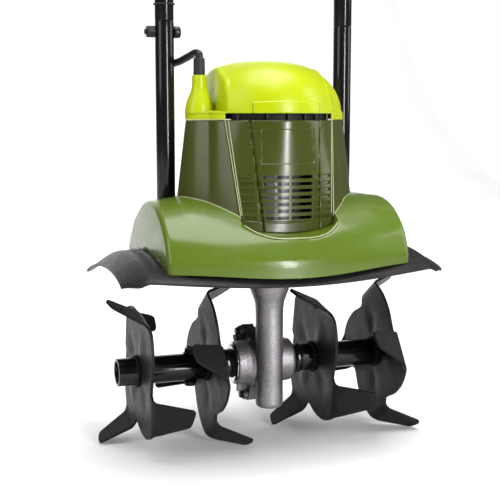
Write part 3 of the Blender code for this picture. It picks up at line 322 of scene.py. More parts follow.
def mesh_from(bm, name, angle=32, recalc=True):
    if recalc:
        bmesh.ops.recalc_face_normals(bm, faces=bm.faces)
    mesh = bpy.data.meshes.new(name)
    bm.to_mesh(mesh)
    bm.free()
    mesh.shade_smooth()
    mesh.set_sharp_from_angle(angle=math.radians(angle))
    return mesh


def outwards(bm, centre):
    """Turns the faces of an open sheet away from a point behind it."""
    bmesh.ops.recalc_face_normals(bm, faces=bm.faces)
    bm.normal_update()
    centre = Vector(centre)
    lean = sum(face.normal.dot(face.calc_center_median() - centre) * face.calc_area() for face in bm.faces)
    if lean < 0:
        bmesh.ops.reverse_faces(bm, faces=bm.faces)


def piece(name, data, body, look, replaces=(), at=AXLE, turn=None):
    made = bpy.data.objects.new(name, data)
    bpy.context.scene.collection.objects.link(made)
    made.matrix_world = Matrix.Translation(at) @ (turn or STILL)
    data.materials.append(look)
    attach(made, body)
    if replaces:
        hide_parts(*replaces)
    return made


def grid(rows, closed=False):
    bm = bmesh.new()
    verts = [[bm.verts.new(p) for p in row] for row in rows]
    for lower, upper in zip(verts, verts[1:]):
        count = len(lower)
        for i in range(count if closed else count - 1):
            j = (i + 1) % count
            bm.faces.new((lower[i], lower[j], upper[j], upper[i]))
    return bm, verts


def shell(name, bm, behind, angle, look, thickness, replaces=()):
    """An open sheet given a wall on the side of the point behind it."""
    outwards(bm, behind)
    made = piece(name, mesh_from(bm, name, angle, recalc=False), "base", look, replaces)
    wall(made, thickness)
    return made


def cut(bm, at, along, near=0.00001):
    """Adds a line of edges where a plane meets the mesh."""
    everything = bm.verts[:] + bm.edges[:] + bm.faces[:]
    bmesh.ops.bisect_plane(bm, geom=everything, plane_co=at, plane_no=along, dist=near)


def wall(made, thickness):
    step = made.modifiers.new("wall", "SOLIDIFY")
    step.thickness = thickness
    step.offset = -1


def bevel(made, width, segments=2, angle=40):
    step = made.modifiers.new("edges", "BEVEL")
    step.width = width
    step.segments = segments
    step.limit_method = "ANGLE"
    step.angle_limit = math.radians(angle)


def lathe_bmesh(profile, steps=72):
    """Turns a (radius, height) outline about Z. A radius of 0 at either end closes it with a fan."""
    rows = []
    for radius, height in profile:
        rows.append([(max(radius, 0.00001) * math.cos(a), max(radius, 0.00001) * math.sin(a), height)
                     for a in round_angles(steps)])
    if profile[0][0] > 0:
        rows.append(rows[0])
    bm, _ = grid(rows, closed=True)
    bmesh.ops.remove_doubles(bm, verts=bm.verts, dist=0.00003)
    return bm


def softened(profile, radius=0.0006, closed=False):
    """Cuts the corners of an outline with short chamfers so that the edges catch the light."""
    points = [Vector(p) for p in profile]
    result = [] if closed else [points[0]]
    count = len(points)
    span = range(count) if closed else range(1, count - 1)
    for i in span:
        before, here, after = points[i - 1], points[i], points[(i + 1) % count]
        into = before - here
        out = after - here
        reach = min(radius, into.length * 0.4, out.length * 0.4)
        start = here + into.normalized() * reach
        end = here + out.normalized() * reach
        middle = (start + end) * 0.25 + here * 0.5
        result += [start, middle, end]
    if not closed:
        result.append(points[-1])
    return result


def lathe(name, profile, body, look, at, turn=None, replaces=(), steps=72, soft=0.0006):
    closed = profile[0][0] > 0
    outline = softened(profile, soft, closed) if soft else [Vector(p) for p in profile]
    bm = lathe_bmesh([tuple(p) for p in outline], steps)
    return piece(name, mesh_from(bm, name, 50), body, look, replaces, at, turn)


def rod(name, points, radius, body, look, replaces=(), at=AXLE, sides=8, radii=None):
    data = bpy.data.curves.new(name, "CURVE")
    data.dimensions = "3D"
    data.bevel_depth = radius
    data.bevel_resolution = sides
    data.use_fill_caps = True
    spline = data.splines.new("POLY")
    spline.points.add(len(points) - 1)
    for index, (target, point) in enumerate(zip(spline.points, points)):
        target.co = (*point, 1)
        target.radius = radii[index] if radii else 1
    spline.use_smooth = True
    return piece(name, data, body, look, replaces, at)


# ---- Guard plate --------------------------------------------------------------------------------------------

GUARD_HALF_WIDTH = 0.175
BASE_HALF_WIDTH = 0.130


def guard_height(y):
    if y > -0.020:
        return 0.130 - 1.4 * (y + 0.020) ** 2
    return 0.130 - 0.021 * ((-0.020 - y) / 0.095) ** 2.4


def guard_front(x):
    return -0.102 - 0.020 * math.cos(math.pi / 2 * min(abs(x) / GUARD_HALF_WIDTH, 1))


def make_guard():
    rows = []
    for i in range(151):
        x = GUARD_HALF_WIDTH * math.sin(math.pi / 2 * (2 * i / 150 - 1))
        across = abs(x) / GUARD_HALF_WIDTH
        corner = 0.015 * smoothstep(across, 0.90, 1.0)
        front = guard_front(x) + corner
        back = 0.112 - corner
        droop = 0.014 * smoothstep(abs(x), 0.148, 0.178)
        row = []
        for j in range(111):
            y = front + (back - front) * j / 110
            z = guard_height(y) - droop
            inside_length = smoothstep(y, -0.090, -0.080) * smoothstep(0.088 - y, 0, 0.010)
            z += 0.0013 * bump(abs(x), 0.1365, 0.0030) * inside_length
            lip = min(y - front, back - y)
            z -= 0.0010 * (1 - smoothstep(lip, 0.0, 0.0045))
            row.append((x, y, z))
        rows.append(row)
    bm, _ = grid(rows)
    guard = shell("guard_skin", bm, (0, 0, -1), 32, GUARD_PAINT, 0.0024, ["guard_plate"])
    bevel(guard, 0.0007)


# ---- Base hood ----------------------------------------------------------------------------------------------

BASE_FRONT_FOOT = (-0.0980, 0.1165)
BASE_SECTION = [
    (-0.0980, 0.1270), (-0.0945, 0.1370), (-0.0880, 0.1500), (-0.0770, 0.1635), (-0.0640, 0.1750),
    (-0.0450, 0.1835), (-0.0200, 0.1865), (0.0080, 0.1830), (0.0300, 0.1730), (0.0480, 0.1610),
    (0.0620, 0.1480), (0.0730, 0.1370), (0.0800, 0.1270),
]
BASE_BACK_FOOT = (0.0810, 0.1190)
BASE_CENTRE = Vector((-0.010, 0.110))
BASE_CURVE = [tuple(p) for p in catmull(BASE_SECTION, 7)]


def base_bow(x, y):
    forward = min(max((-0.040 - y) / 0.058, 0), 1)
    return 0.024 * math.cos(math.pi / 2 * min(abs(x) / BASE_HALF_WIDTH, 1)) * forward**1.5


def base_outline(x):
    """The hood's section at one x: a vertical band at the front, a crease, then one curve over to the back."""
    droop = 0.006 * math.cos(math.pi / 2 * min(abs(x) / BASE_HALF_WIDTH, 1)) ** 2
    end_drop = 0.0035 * smoothstep(abs(x), 0.095, 0.128)
    foot_y, foot_z = BASE_FRONT_FOOT
    foot_z -= droop
    crease_y, crease_z = BASE_CURVE[0]
    outline = [(foot_y + 0.0007, foot_z), (foot_y, foot_z + 0.0008)]
    outline += [(foot_y, foot_z + (crease_z - foot_z) * t) for t in (0.3, 0.6, 0.9)]
    outline.append((crease_y + 0.0001, crease_z - 0.0004))
    outline.append((crease_y + 0.0004, crease_z + 0.0007))
    outline += BASE_CURVE[1:]
    back_y, back_z = BASE_BACK_FOOT
    outline += [(0.0806, 0.1230), (back_y, back_z)]
    section = []
    for y, z in outline:
        weight = smoothstep(z, 0.150, 0.182)
        section.append(Vector((y - base_bow(x, y), z - end_drop * weight)))
    return section


def base_top(x, y):
    """Height of the hood's surface at (x, y)."""
    section = base_outline(x)[6:-2]
    for p, q in zip(section, section[1:]):
        if p.x <= y <= q.x:
            return p.y + (q.y - p.y) * (y - p.x) / (q.x - p.x)
    return section[0].y


COLLAR_HALF_WIDTH = 0.0505


def collar_front(x):
    return -0.1073 + 0.0175 * (abs(x) / COLLAR_HALF_WIDTH) ** 3.2


def in_collar(x, y):
    return abs(x) < COLLAR_HALF_WIDTH and collar_front(x) < y < -0.070


def ledge_height(x, y):
    """The recess in the hood round the panel's foot, from its front lip back to the panel."""
    front = collar_front(x)
    t = (y - front) / (panel_y(x, 0.160) - front)
    return base_top(x, front) * (1 - t) + panel_foot(x) * t


def inward(section):
    """Unit normals of a section, pointing into the hood."""
    normals = []
    last = len(section) - 1
    for i in range(len(section)):
        along = section[min(i + 1, last)] - section[max(i - 1, 0)]
        normals.append(Vector((along.y, -along.x)).normalized())
    return normals


def make_base():
    round_radius = 0.0055
    flat = BASE_HALF_WIDTH + 0.0005 - round_radius
    stations = [(x, 0.0) for x in spread(-flat, flat, 96)]
    for k in range(1, 9):
        a = math.pi / 2 * k / 8
        x = flat + round_radius * math.sin(a)
        stations.append((x, round_radius * (1 - math.cos(a))))
        stations.insert(0, (-x, round_radius * (1 - math.cos(a))))
    rows = []
    for x, inset in stations:
        section = base_outline(x)
        row = []
        for p, n in zip(section, inward(section)):
            moved = p + n * inset
            z = p.y if p.y < 0.118 else moved.y
            row.append((x, moved.x, z))
        rows.append(row)
    bm, verts = grid(rows)
    for end, side in ((verts[0], -1), (verts[-1], 1)):
        previous = end
        for k in range(1, 8):
            scale = 1 - k / 8
            row = []
            for vert in end:
                y = BASE_CENTRE.x + (vert.co.y - BASE_CENTRE.x) * scale
                z = BASE_CENTRE.y + (vert.co.z - BASE_CENTRE.y) * scale
                row.append(bm.verts.new((vert.co.x + side * 0.0014 * (1 - scale * scale), y, z)))
            for i in range(len(end) - 1):
                bm.faces.new((previous[i], previous[i + 1], row[i + 1], row[i]))
            previous = row
        bm.faces.new(previous)
    doomed = []
    for face in bm.faces:
        centre = face.calc_center_median()
        if inside_tower(centre, 0.0045) and centre.z > 0.125:
            doomed.append(face)
        elif centre.z < guard_height(centre.y) - 0.0055:
            doomed.append(face)
    bmesh.ops.delete(bm, geom=doomed, context="FACES")
    for vert in bm.verts:
        low = guard_height(vert.co.y) - 0.0005
        if vert.co.z < low and abs(vert.co.x) > 0.1:
            vert.co.z = low
    for vert in bm.verts:
        x, y, z = vert.co
        if z > 0.12 and in_collar(x, y):
            vert.co.z = min(z, ledge_height(x, y) - 0.0005)
    shell("base_skin", bm, (0, 0, 0.1), 38, OLIVE, 0.0025, ["base_hood"])


# ---- Tower --------------------------------------------------------------------------------------------------

TOWER_TOP_Z = 0.265
TOWER_TOP_OUTLINE = [
    (0.0588, -0.0542), (0.0703, -0.0390), (0.0820, -0.0262), (0.0875, -0.0170), (0.0865, -0.0060),
    (0.0815, 0.0120), (0.0730, 0.0290), (0.0600, 0.0430), (0.0410, 0.0535), (0.0200, 0.0597), (0.0, 0.0615),
]
TOWER_FOOT_OUTLINE = [
    (0.0515, -0.0760), (0.0739, -0.0512), (0.0900, -0.0320), (0.0975, -0.0190), (0.0972, -0.0080),
    (0.0860, 0.0090), (0.0790, 0.0290), (0.0660, 0.0450), (0.0450, 0.0570), (0.0220, 0.0630), (0.0, 0.0645),
]
TOWER_FOOT_Z = 0.181
CAP_CENTRE_Y = -0.010


def dense_half(outline):
    """A half outline with a flat first facet, a crisp fold, and one smooth curve from the fold to the back."""
    edge, fold = Vector(outline[0]), Vector(outline[1])
    across = fold - edge
    bulge = Vector((across.y, -across.x)).normalized() * 0.0010
    points = []
    for t in spread(0, 1, 14)[:-1]:
        points.append(edge + across * t + bulge * 4 * t * (1 - t))
    points += catmull(outline[1:], 8)
    return points


TOP_HALF = dense_half(TOWER_TOP_OUTLINE)
FOOT_HALF = dense_half(TOWER_FOOT_OUTLINE)


def tower_point(index, z):
    t = (TOWER_TOP_Z - z) / (TOWER_TOP_Z - TOWER_FOOT_Z)
    return TOP_HALF[index].lerp(FOOT_HALF[index], t)


def panel_half_width(z):
    return 0.0500 + 0.0088 * (z - 0.157) / (TOWER_TOP_Z - 0.157)


def panel_y(x, z):
    foot_to_top = (z - 0.157) / (TOWER_TOP_Z - 0.157)
    curve = 0.006 + 0.0250 * foot_to_top
    return -0.0855 + curve * (x / panel_half_width(z)) ** 2


def inside_tower(point, inset):
    """Whether a point is within the tower's walls at its own height."""
    x, y, z = point
    front = panel_y(x, max(z, 0.157)) + inset
    if y < front:
        return False
    away = Vector((abs(x), y - CAP_CENTRE_Y))
    bearing = math.atan2(away.y, away.x)
    previous = None
    for index in range(len(TOP_HALF)):
        edge = tower_point(index, z) - Vector((0, CAP_CENTRE_Y))
        here = math.atan2(edge.y, edge.x)
        if previous and here >= bearing:
            return away.length < min(edge.length, previous) - inset
        previous = edge.length
    return away.length < tower_point(0, z).length - inset


def foot_height(index, side):
    """Height at which one line of the tower's wall meets the hood."""
    z = 0.170
    for _ in range(6):
        p = tower_point(index, z)
        z = base_top(side * p.x, p.y)
    return z


def make_tower():
    count = len(TOP_HALF)
    for side, name, replaces in ((-1, "left", ["tower_shell"]), (1, "right", [])):
        feet = [foot_height(i, side) for i in range(count)]
        rows = []
        for t in spread(0, 1, 44):
            row = []
            for i in range(count):
                z = TOWER_TOP_Z + (feet[i] - 0.004 - TOWER_TOP_Z) * t
                p = tower_point(i, z)
                row.append((side * p.x, p.y, z))
            rows.append(row)
        bm, _ = grid(rows)
        # The tower walls take the olive plastic darkened as painted shade.
        shell(f"tower_skin_{name}", bm, (0, CAP_CENTRE_Y, 0.22), 16, SHADED_OLIVE, 0.003, replaces)

        # A pale line round the tower's foot where it meets the hood: a painted highlight along the crease.
        highlight_line = []
        for i in range(count):
            p = tower_point(i, feet[i])
            away = Vector((p.x, p.y - CAP_CENTRE_Y)).normalized() * 0.0008
            x, y = p.x + away.x, p.y + away.y
            highlight_line.append((side * x, y, base_top(side * x, y) + 0.0001))
        rod(f"tower_foot_highlight_{name}", highlight_line, 0.0006, "base", HIGHLIGHT_OLIVE, sides=4)

        # Pale raised lines along the panel's edges: painted highlights on the rims.
        for index, (inset, proud) in enumerate(((0.0, 0.0005), (0.0024, 0.0008))):
            line = []
            for z in spread(feet[0] + 0.001, TOWER_TOP_Z - 0.0004, 30):
                if inset:
                    x = panel_half_width(z) - inset
                    line.append((side * x, panel_y(x, z) - proud, z))
                else:
                    p = tower_point(0, z)
                    line.append((side * p.x, p.y - proud, z))
            rod(f"tower_edge_highlight_{name}_{index + 1}", line, 0.00055, "base", HIGHLIGHT_OLIVE, sides=4)


# ---- Front vent panel ---------------------------------------------------------------------------------------

VENT_ROWS = 7
VENT_PITCH = 0.00685
VENT_TOP_Z = 0.20835
VENT_HALF_HEIGHT = 0.00165
VENT_SPANS = [(-0.505, -0.034), (0.034, 0.490)]
GROOVE_SPANS = [(-0.930, -0.680), (-0.620, -0.530), (0.515, 0.680), (0.715, 0.930)]


def panel_foot(x):
    return 0.1515 + 0.0062 * (abs(x) / 0.050) ** 2


def panel_relief(s, x, z):
    """How far the panel's surface stands proud (+) or is sunk (-) at this place."""
    depth = 0.0
    left_groove = -0.0381 + (TOWER_TOP_Z - z) * 0.098
    right_groove = 0.0368 - (TOWER_TOP_Z - z) * 0.030
    depth -= 0.0026 * bump(x, left_groove, 0.0014)
    depth -= 0.0012 * bump(x, right_groove, 0.0011)
    inside_label = smoothstep(0.0290 - abs(x), 0, 0.0009) * smoothstep(z, 0.2212, 0.2221)
    inside_label *= smoothstep(0.2565 - z, 0, 0.0009)
    depth -= 0.0009 * inside_label
    line = 0.1638 + 0.0040 * (x / 0.0475) ** 2
    depth -= 0.0007 * bump(z, line - 0.0012, 0.0014) * (1 if abs(s) < 0.94 else 0)
    for row in range(VENT_ROWS):
        centre = VENT_TOP_Z - row * VENT_PITCH
        tall = smoothstep(VENT_HALF_HEIGHT + 0.0004 - abs(z - centre), 0, 0.0006)
        if tall <= 0:
            continue
        for low, high in GROOVE_SPANS:
            depth -= 0.0017 * tall * smoothstep(s, low, low + 0.02) * smoothstep(high - s, 0, 0.02)
    return depth


def make_panel():
    s_lines = set(spread(-1, 1, 150))
    fractions = set(spread(0.0, 1.0, 60))
    for low, high in VENT_SPANS:
        s_lines |= {low - 0.009, low, high, high + 0.009}
    top, bottom = TOWER_TOP_Z, 0.1515
    for row in range(VENT_ROWS):
        centre = VENT_TOP_Z - row * VENT_PITCH
        for offset in (-0.0021, -VENT_HALF_HEIGHT, 0, VENT_HALF_HEIGHT, 0.0021):
            fractions.add((top - centre - offset) / (top - bottom))
    for low, high, count in ((0.2200, 0.2230, 8), (0.2550, 0.2575, 8), (0.1600, 0.1700, 22), (0.161, 0.214, 80)):
        fractions |= {(top - z) / (top - bottom) for z in spread(low, high, count)}
    s_list = thinned(sorted(s_lines), 0.004, VENT_SPANS)
    z_list = sorted(fractions)
    bm = bmesh.new()
    verts = {}
    for j, t in enumerate(z_list):
        for i, s in enumerate(s_list):
            z = top + (bottom - top) * t
            half = panel_half_width(z) - 0.0004
            x = s * half
            foot = panel_foot(x)
            if z < 0.166:
                z = 0.166 + (z - 0.166) * (0.166 - foot) / (0.166 - bottom)
            verts[i, j] = bm.verts.new((x, panel_y(x, z) - panel_relief(s, x, z), z))
    for j in range(len(z_list) - 1):
        z_mid = top + (bottom - top) * (z_list[j] + z_list[j + 1]) / 2
        in_row = any(abs(z_mid - (VENT_TOP_Z - r * VENT_PITCH)) < VENT_HALF_HEIGHT for r in range(VENT_ROWS))
        for i in range(len(s_list) - 1):
            s_mid = (s_list[i] + s_list[i + 1]) / 2
            if in_row and any(low < s_mid < high for low, high in VENT_SPANS):
                continue
            bm.faces.new((verts[i, j], verts[i + 1, j], verts[i + 1, j + 1], verts[i, j + 1]))
    bmesh.ops.delete(bm, geom=[v for v in bm.verts if not v.link_faces], context="VERTS")
    # The vent panel takes the olive plastic darkened as painted shade.
    shell("vent_panel_skin", bm, (0, 0.1, 0.2), 40, SHADED_OLIVE, 0.0028, ["front_vent_panel"])

    rows = []
    for t in spread(0, 1, 12):
        row = []
        for x in spread(-COLLAR_HALF_WIDTH, COLLAR_HALF_WIDTH, 80):
            back, front = panel_y(x, 0.160) - 0.0002, collar_front(x)
            y = back + (front - back) * t
            row.append(Vector((x, y, ledge_height(x, y) + 0.0002 + 0.0009 * math.sin(math.pi * t))))
        rows.append(row)
    bm, _ = grid(rows)
    shell("panel_collar", bm, (0, 0, 0.1), 60, OLIVE, 0.0012)
    # A pale line along the collar's front lip: a painted highlight.
    edge = [point + Vector((0, -0.0002, 0.0002)) for point in rows[-1]]
    rod("panel_collar_highlight", edge, 0.0007, "base", HIGHLIGHT_OLIVE, sides=4)


def thinned(values, gap, spans):
    """Drops lines that nearly coincide, keeping those that bound the vents."""
    kept_always = {v for low, high in spans for v in (low, high)}
    result = []
    for value in values:
        if result and value - result[-1] < gap and value not in kept_always:
            continue
        if result and value - result[-1] < gap and result[-1] not in kept_always:
            result.pop()
        result.append(value)
    return result


# ---- Top cap ------------------------------------------------------------------------------------------------

CAP_BOTTOM_Z = 0.2720
CAP_HEIGHT = 0.0547
BOSS = Vector((-0.0735, -0.014))
CAP_LINES_X = [
    -0.036, -0.035, 0.035, 0.036, -0.055, -0.0562, -0.0571, -0.0578, -0.0583, -0.0588,
    0.056, 0.057, 0.058, 0.059, 0.06,
]
CAP_LINES_Z = [0.2815, 0.2822, 0.2829, 0.2836, 0.2843]
RIDGE_DROP = [(0.055, 0.0), (0.0562, 0.0004), (0.0571, 0.0012), (0.0578, 0.0026), (0.0583, 0.006)]


def cap_outline():
    half = [tuple(p) for p in TOP_HALF]
    mirrored = [(-x, y) for x, y in reversed(half[:-1])]
    front = [(x, panel_y(x, TOWER_TOP_Z)) for x in spread(-0.0588, 0.0588, 56)[1:-1]]
    return half + mirrored + front


def cap_height(reach):
    return math.sqrt(max(1 - reach**2.7, 0))


def make_cap():
    outline = cap_outline()
    side_count = 2 * len(TOP_HALF) - 1
    reaches = [math.sin(math.pi / 2 * t) for t in spread(0, 1, 64)][:0:-1]
    rows = []
    for reach in reaches:
        z = CAP_BOTTOM_Z + CAP_HEIGHT * cap_height(reach)
        rows.append([(x * reach, CAP_CENTRE_Y + (y - CAP_CENTRE_Y) * reach, z) for x, y in outline])
    bm, verts = grid(rows, closed=True)
    crown = bm.verts.new((0, CAP_CENTRE_Y, CAP_BOTTOM_Z + CAP_HEIGHT))
    last = verts[-1]
    for i, vert in enumerate(last):
        bm.faces.new((vert, last[(i + 1) % len(last)], crown))
    for x in CAP_LINES_X:
        cut(bm, (x, 0, 0), (1, 0, 0), 0.00002)
    for z in CAP_LINES_Z:
        cut(bm, (0, 0, z), (0, 0, 1), 0.00002)
    outwards(bm, (0, CAP_CENTRE_Y, 0.2))
    bm.normal_update()
    moves = []
    for vert in bm.verts:
        x, y, z = vert.co
        up = z - CAP_BOTTOM_Z
        offset = 0.0
        fade = smoothstep(up, 0.0, 0.004)
        if up > 0:
            brow_top = 0.2842 - 0.0010 * (x / 0.035) ** 2
            if y < -0.03:
                offset += 0.0014 * smoothstep(0.0360 - abs(x), 0, 0.0010) * smoothstep(brow_top - z, 0, 0.0010)
        offset -= 0.0016 * smoothstep(x, 0.0565, 0.0600) * fade
        offset += 0.0008 * (bump(x, 0.0560, 0.0040) + bump(x, -0.0550, 0.0040)) * fade
        moves.append((vert, vert.normal * offset))
    for vert, move in moves:
        vert.co += move
    for vert in bm.verts:
        x, y, z = vert.co
        drop = interpolate(RIDGE_DROP, -x)
        back = smoothstep(0.046 - y, 0.0, 0.022)
        up = z - CAP_BOTTOM_Z
        if x < -0.0585:
            low = CAP_BOTTOM_Z + min(up, 0.0012 + 0.05 * up)
            vert.co.z = z + (low - z) * back
        elif x < -0.0550:
            vert.co.z = z - min(drop, up * 0.8) * back
    wall(piece("cap_skin", mesh_from(bm, "cap_skin", 60, recalc=False), "base", LIME, ["top_cap"]), 0.0025)

    rows = []
    for z, inset in ((0.2655, 0.0004), (0.2660, 0.0), (0.2712, 0.0), (0.2716, 0.0006), (0.2719, 0.0006),
                     (0.2722, 0.0)):
        row = []
        for x, y in outline[:side_count]:
            away = Vector((x, y - CAP_CENTRE_Y))
            shrink = 1 - (inset - 0.0003) / away.length
            row.append((x * shrink, CAP_CENTRE_Y + away.y * shrink, z))
        rows.append(row)
    bm, _ = grid(rows)
    shell("cap_skirt", bm, (0, CAP_CENTRE_Y, 0.268), 25, LIME, 0.0022)

    profile = [
        (0.0064, 0.3040), (0.0064, 0.3108), (0.0069, 0.3112), (0.0074, 0.3106), (0.0077, 0.3040), (0.0079, 0.3000),
        (0.0083, 0.2970), (0.0092, 0.2940), (0.0108, 0.2905), (0.0125, 0.2865), (0.0138, 0.2825), (0.0147, 0.2785),
        (0.0152, 0.2740), (0.0155, 0.2716), (0.0140, 0.2716), (0.0120, 0.2790), (0.0064, 0.2900),
    ]
    at = AXLE + Vector((BOSS.x, BOSS.y, 0))
    lathe("cable_boss", profile, "base", LIME, at, soft=0.0003)

    # A near-black sheet just behind the slot between cap and panel: painted shade inside the housing.
    rows = []
    for z in spread(0.2500, 0.2900, 6):
        rows.append([(x, panel_y(x, 0.265) + 0.0085, z) for x in spread(-0.052, 0.052, 40)])
    bm, _ = grid(rows)
    wall(piece("slot_shade_sheet", mesh_from(bm, "slot_shade_sheet"), "base", SLOT_SHADE), 0.0015)
    for number, x in enumerate((-0.0470, -0.0210, 0.0, 0.0190, 0.0340, 0.0520), 1):
        y = panel_y(x, 0.265) + 0.0060
        post = [(0.0015, 0.2560), (0.0015, 0.2800), (0, 0.2800)]
        # The last post takes the olive plastic darkened as painted shade.
        lathe(f"slot_post_{number}", [(0, 0.2560), *post], "base", SHADED_OLIVE if number == 6 else BLACK_PLASTIC,
              AXLE + Vector((x, y, 0)), steps=20, soft=0.0002)


# ---- Gearbox ------------------------------------------------------------------------------------------------

WORM = Vector((0, -0.026, 0))


def fused(name, solids, voxel, smooth, look, replaces, body="base", at=AXLE, turn=None):
    """Joins overlapping solids into one piece with soft inner corners."""
    bm = bmesh.new()
    for solid, matrix in solids:
        mesh = bpy.data.meshes.new("part_of_casting")
        bmesh.ops.recalc_face_normals(solid, faces=solid.faces)
        solid.to_mesh(mesh)
        solid.free()
        mesh.transform(matrix)
        bm.from_mesh(mesh)
        bpy.data.meshes.remove(mesh)
    mesh = bpy.data.meshes.new(name)
    bm.to_mesh(mesh)
    bm.free()
    made = piece(name, mesh, body, look, replaces, at, turn)
    remesh = made.modifiers.new("fuse", "REMESH")
    remesh.mode = "VOXEL"
    remesh.voxel_size = voxel
    remesh.use_smooth_shade = True
    relax = made.modifiers.new("relax", "SMOOTH")
    relax.factor = 0.5
    relax.iterations = smooth


def plate_solid(outline, low_x, high_x):
    rows = [[(x, p.x, p.y) for p in outline] for x in (low_x, high_x)]
    bm, verts = grid(rows, closed=True)
    bm.faces.new(verts[0])
    bm.faces.new(verts[1])
    return bm


def hull(points):
    points = sorted(points, key=lambda p: (p.x, p.y))
    chains = []
    for ordered in (points, points[::-1]):
        chain = []
        for p in ordered:
            while len(chain) > 1 and (chain[-1] - chain[-2]).cross(p - chain[-1]) <= 1e-9:
                chain.pop()
            chain.append(p)
        chains.append(chain[:-1])
    return chains[0] + chains[1]


EARS = [(0.0190, 0.0310), (0.0050, -0.0375), (0.0385, -0.0100)]


def flange_outline(grow=0.0):
    edge = []
    for y, z, radius in [(0.0090, 0.0, 0.0285)] + [(y, z, 0.0075) for y, z in EARS]:
        edge += [Vector((y + (radius + grow) * math.cos(a), z + (radius + grow) * math.sin(a)))
                 for a in round_angles(64)]
    return hull(edge)


def box_solid(low, high):
    bm = bmesh.new()
    size = [b - a for a, b in zip(low, high)]
    centre = [(a + b) / 2 for a, b in zip(low, high)]
    bmesh.ops.create_cube(bm, size=1, matrix=Matrix.Translation(centre) @ Matrix.Diagonal((*size, 1)))
    return bm


def make_gearbox():
    column = [
        (0, 0.1245), (0.0240, 0.1245), (0.0236, 0.1010), (0.0224, 0.0900), (0.0203, 0.0830), (0.0178, 0.0765),
        (0.0160, 0.0715), (0.0152, 0.0650), (0.0149, 0.0500), (0.0149, -0.0405), (0.0140, -0.0432),
        (0.0116, -0.0448), (0.0080, -0.0454), (0, -0.0455),
    ]
    housing = [(0, 0.0337), (0.0200, 0.0337), (0.0226, 0.0325), (0.0237, 0.0300), (0.0240, 0.0260), (0.0240, -0.0060),
               (0, -0.0060)]
    solids = [
        (lathe_bmesh(column), Matrix.Translation(WORM)),
        (lathe_bmesh(housing), TURN_TO_X),
        (plate_solid(flange_outline(), -0.0078, -0.0030), STILL),
        (plate_solid(flange_outline(-0.004), -0.0040, 0.0060), STILL),
    ]
    for x in (-0.0015, 0.0125):
        solids.append((box_solid((x, 0.0180, -0.0030), (x + 0.0030, 0.0290, 0.0030)), STILL))
    fused("gearbox_casting", solids, 0.00055, 5, CAST, ["gearbox_case"])

    cover_boss = [(0, -0.0328), (0.0226, -0.0328), (0.0234, -0.0320), (0.0240, -0.0250), (0.0252, -0.0190),
                  (0.0276, -0.0140), (0, -0.0140)]
    solids = [
        (plate_solid(flange_outline(), -0.0158, -0.0085), STILL),
        (lathe_bmesh(cover_boss), TURN_TO_X),
    ]
    for y, z in EARS:
        ear = Vector((y, z))
        hub = [(0, -0.0205), (0.0056, -0.0205), (0.0063, -0.0192), (0.0070, -0.0140), (0, -0.0140)]
        solids.append((lathe_bmesh(hub, 40), Matrix.Translation((0, y, z)) @ TURN_TO_X))
        web = box_solid((-0.0275, -0.0017, 0.0180), (-0.0140, 0.0017, ear.length - 0.004))
        solids.append((web, Matrix.Rotation(math.atan2(-y, z), 4, "X")))
    fused("gearbox_cover_casting", solids, 0.0005, 4, CAST, ["gearbox_cover"])

    collar = [(0.0160, -0.0336), (0.0228, -0.0336), (0.0224, -0.0345), (0.0208, -0.0356), (0.0160, -0.0356)]
    lathe("polished_retaining_ring", collar, "base", POLISHED, AXLE, TURN_TO_X, ["retaining_ring"], soft=0.0003)
    ring = [(0.0225, -0.0337), (0.0230, -0.0336), (0.0231, -0.0329), (0.0225, -0.0327)]
    lathe("cover_oil_groove", ring, "base", RUBBER, AXLE, TURN_TO_X, soft=0.0001)
    left_seal = [(0.0103, -0.0380), (0.0140, -0.0380), (0.0150, -0.0373), (0.0160, -0.0360), (0.0160, -0.0220),
                 (0.0103, -0.0220)]
    lathe("left_dust_cap", left_seal, "base", RUBBER, AXLE, TURN_TO_X, ["shaft_seal_left"], soft=0.0005)
    right_seal = [(0.0103, 0.0363), (0.0103, 0.0220), (0.0160, 0.0220), (0.0160, 0.0328), (0.0140, 0.0337),
                  (0.0140, 0.0353), (0.0132, 0.0363)]
    lathe("right_lip_seal", right_seal, "base", RUBBER, AXLE, TURN_TO_X, ["shaft_seal_right"], soft=0.0004)

    for number, (y, z) in enumerate(EARS, 1):
        head = [(0, -0.0238), (0.0034, -0.0240), (0.0041, -0.0232), (0.0042, -0.0214), (0.0050, -0.0213),
                (0.0050, -0.0200), (0, -0.0200)]
        lathe(f"cover_screw_head_{number}", head, "base", BOLT_BLACK, AXLE + Vector((0, y, z)), TURN_TO_X,
              [f"cover_screw_{number}"], steps=36, soft=0.0003)


# ---- Tines --------------------------------------------------------------------------------------------------

TINE_ANGLE = math.radians(-11.2)
TINE_STAGGER = math.radians(44.4)
TINE_PLATE_X = {"outer_left": -0.1385, "inner_left": -0.0625, "inner_right": 0.0625, "outer_right": 0.1385}
TINE_THICKNESS = 0.003
BEND_START = 0.060
BEND_RADIUS = 0.012
BEND_ANGLE = math.radians(64)
TUBE_RADIUS = 0.01475
TINE_LOBE = [
    (0.0060, -0.0573), (0.0216, -0.0600), (0.0340, -0.0594), (0.0460, -0.0568), (0.0570, -0.0515),
    (0.0645, -0.0458), (0.0700, -0.0415),
]
TINE_TIP = [
    (0.1005, -0.0289), (0.1044, -0.0266), (0.1068, -0.0226), (0.1092, -0.0127), (0.1088, -0.0097),
    (0.1065, -0.0080),
]
TINE_HEEL = [(0.0740, -0.0054), (0.0630, -0.0052), (0.0570, -0.0010)]


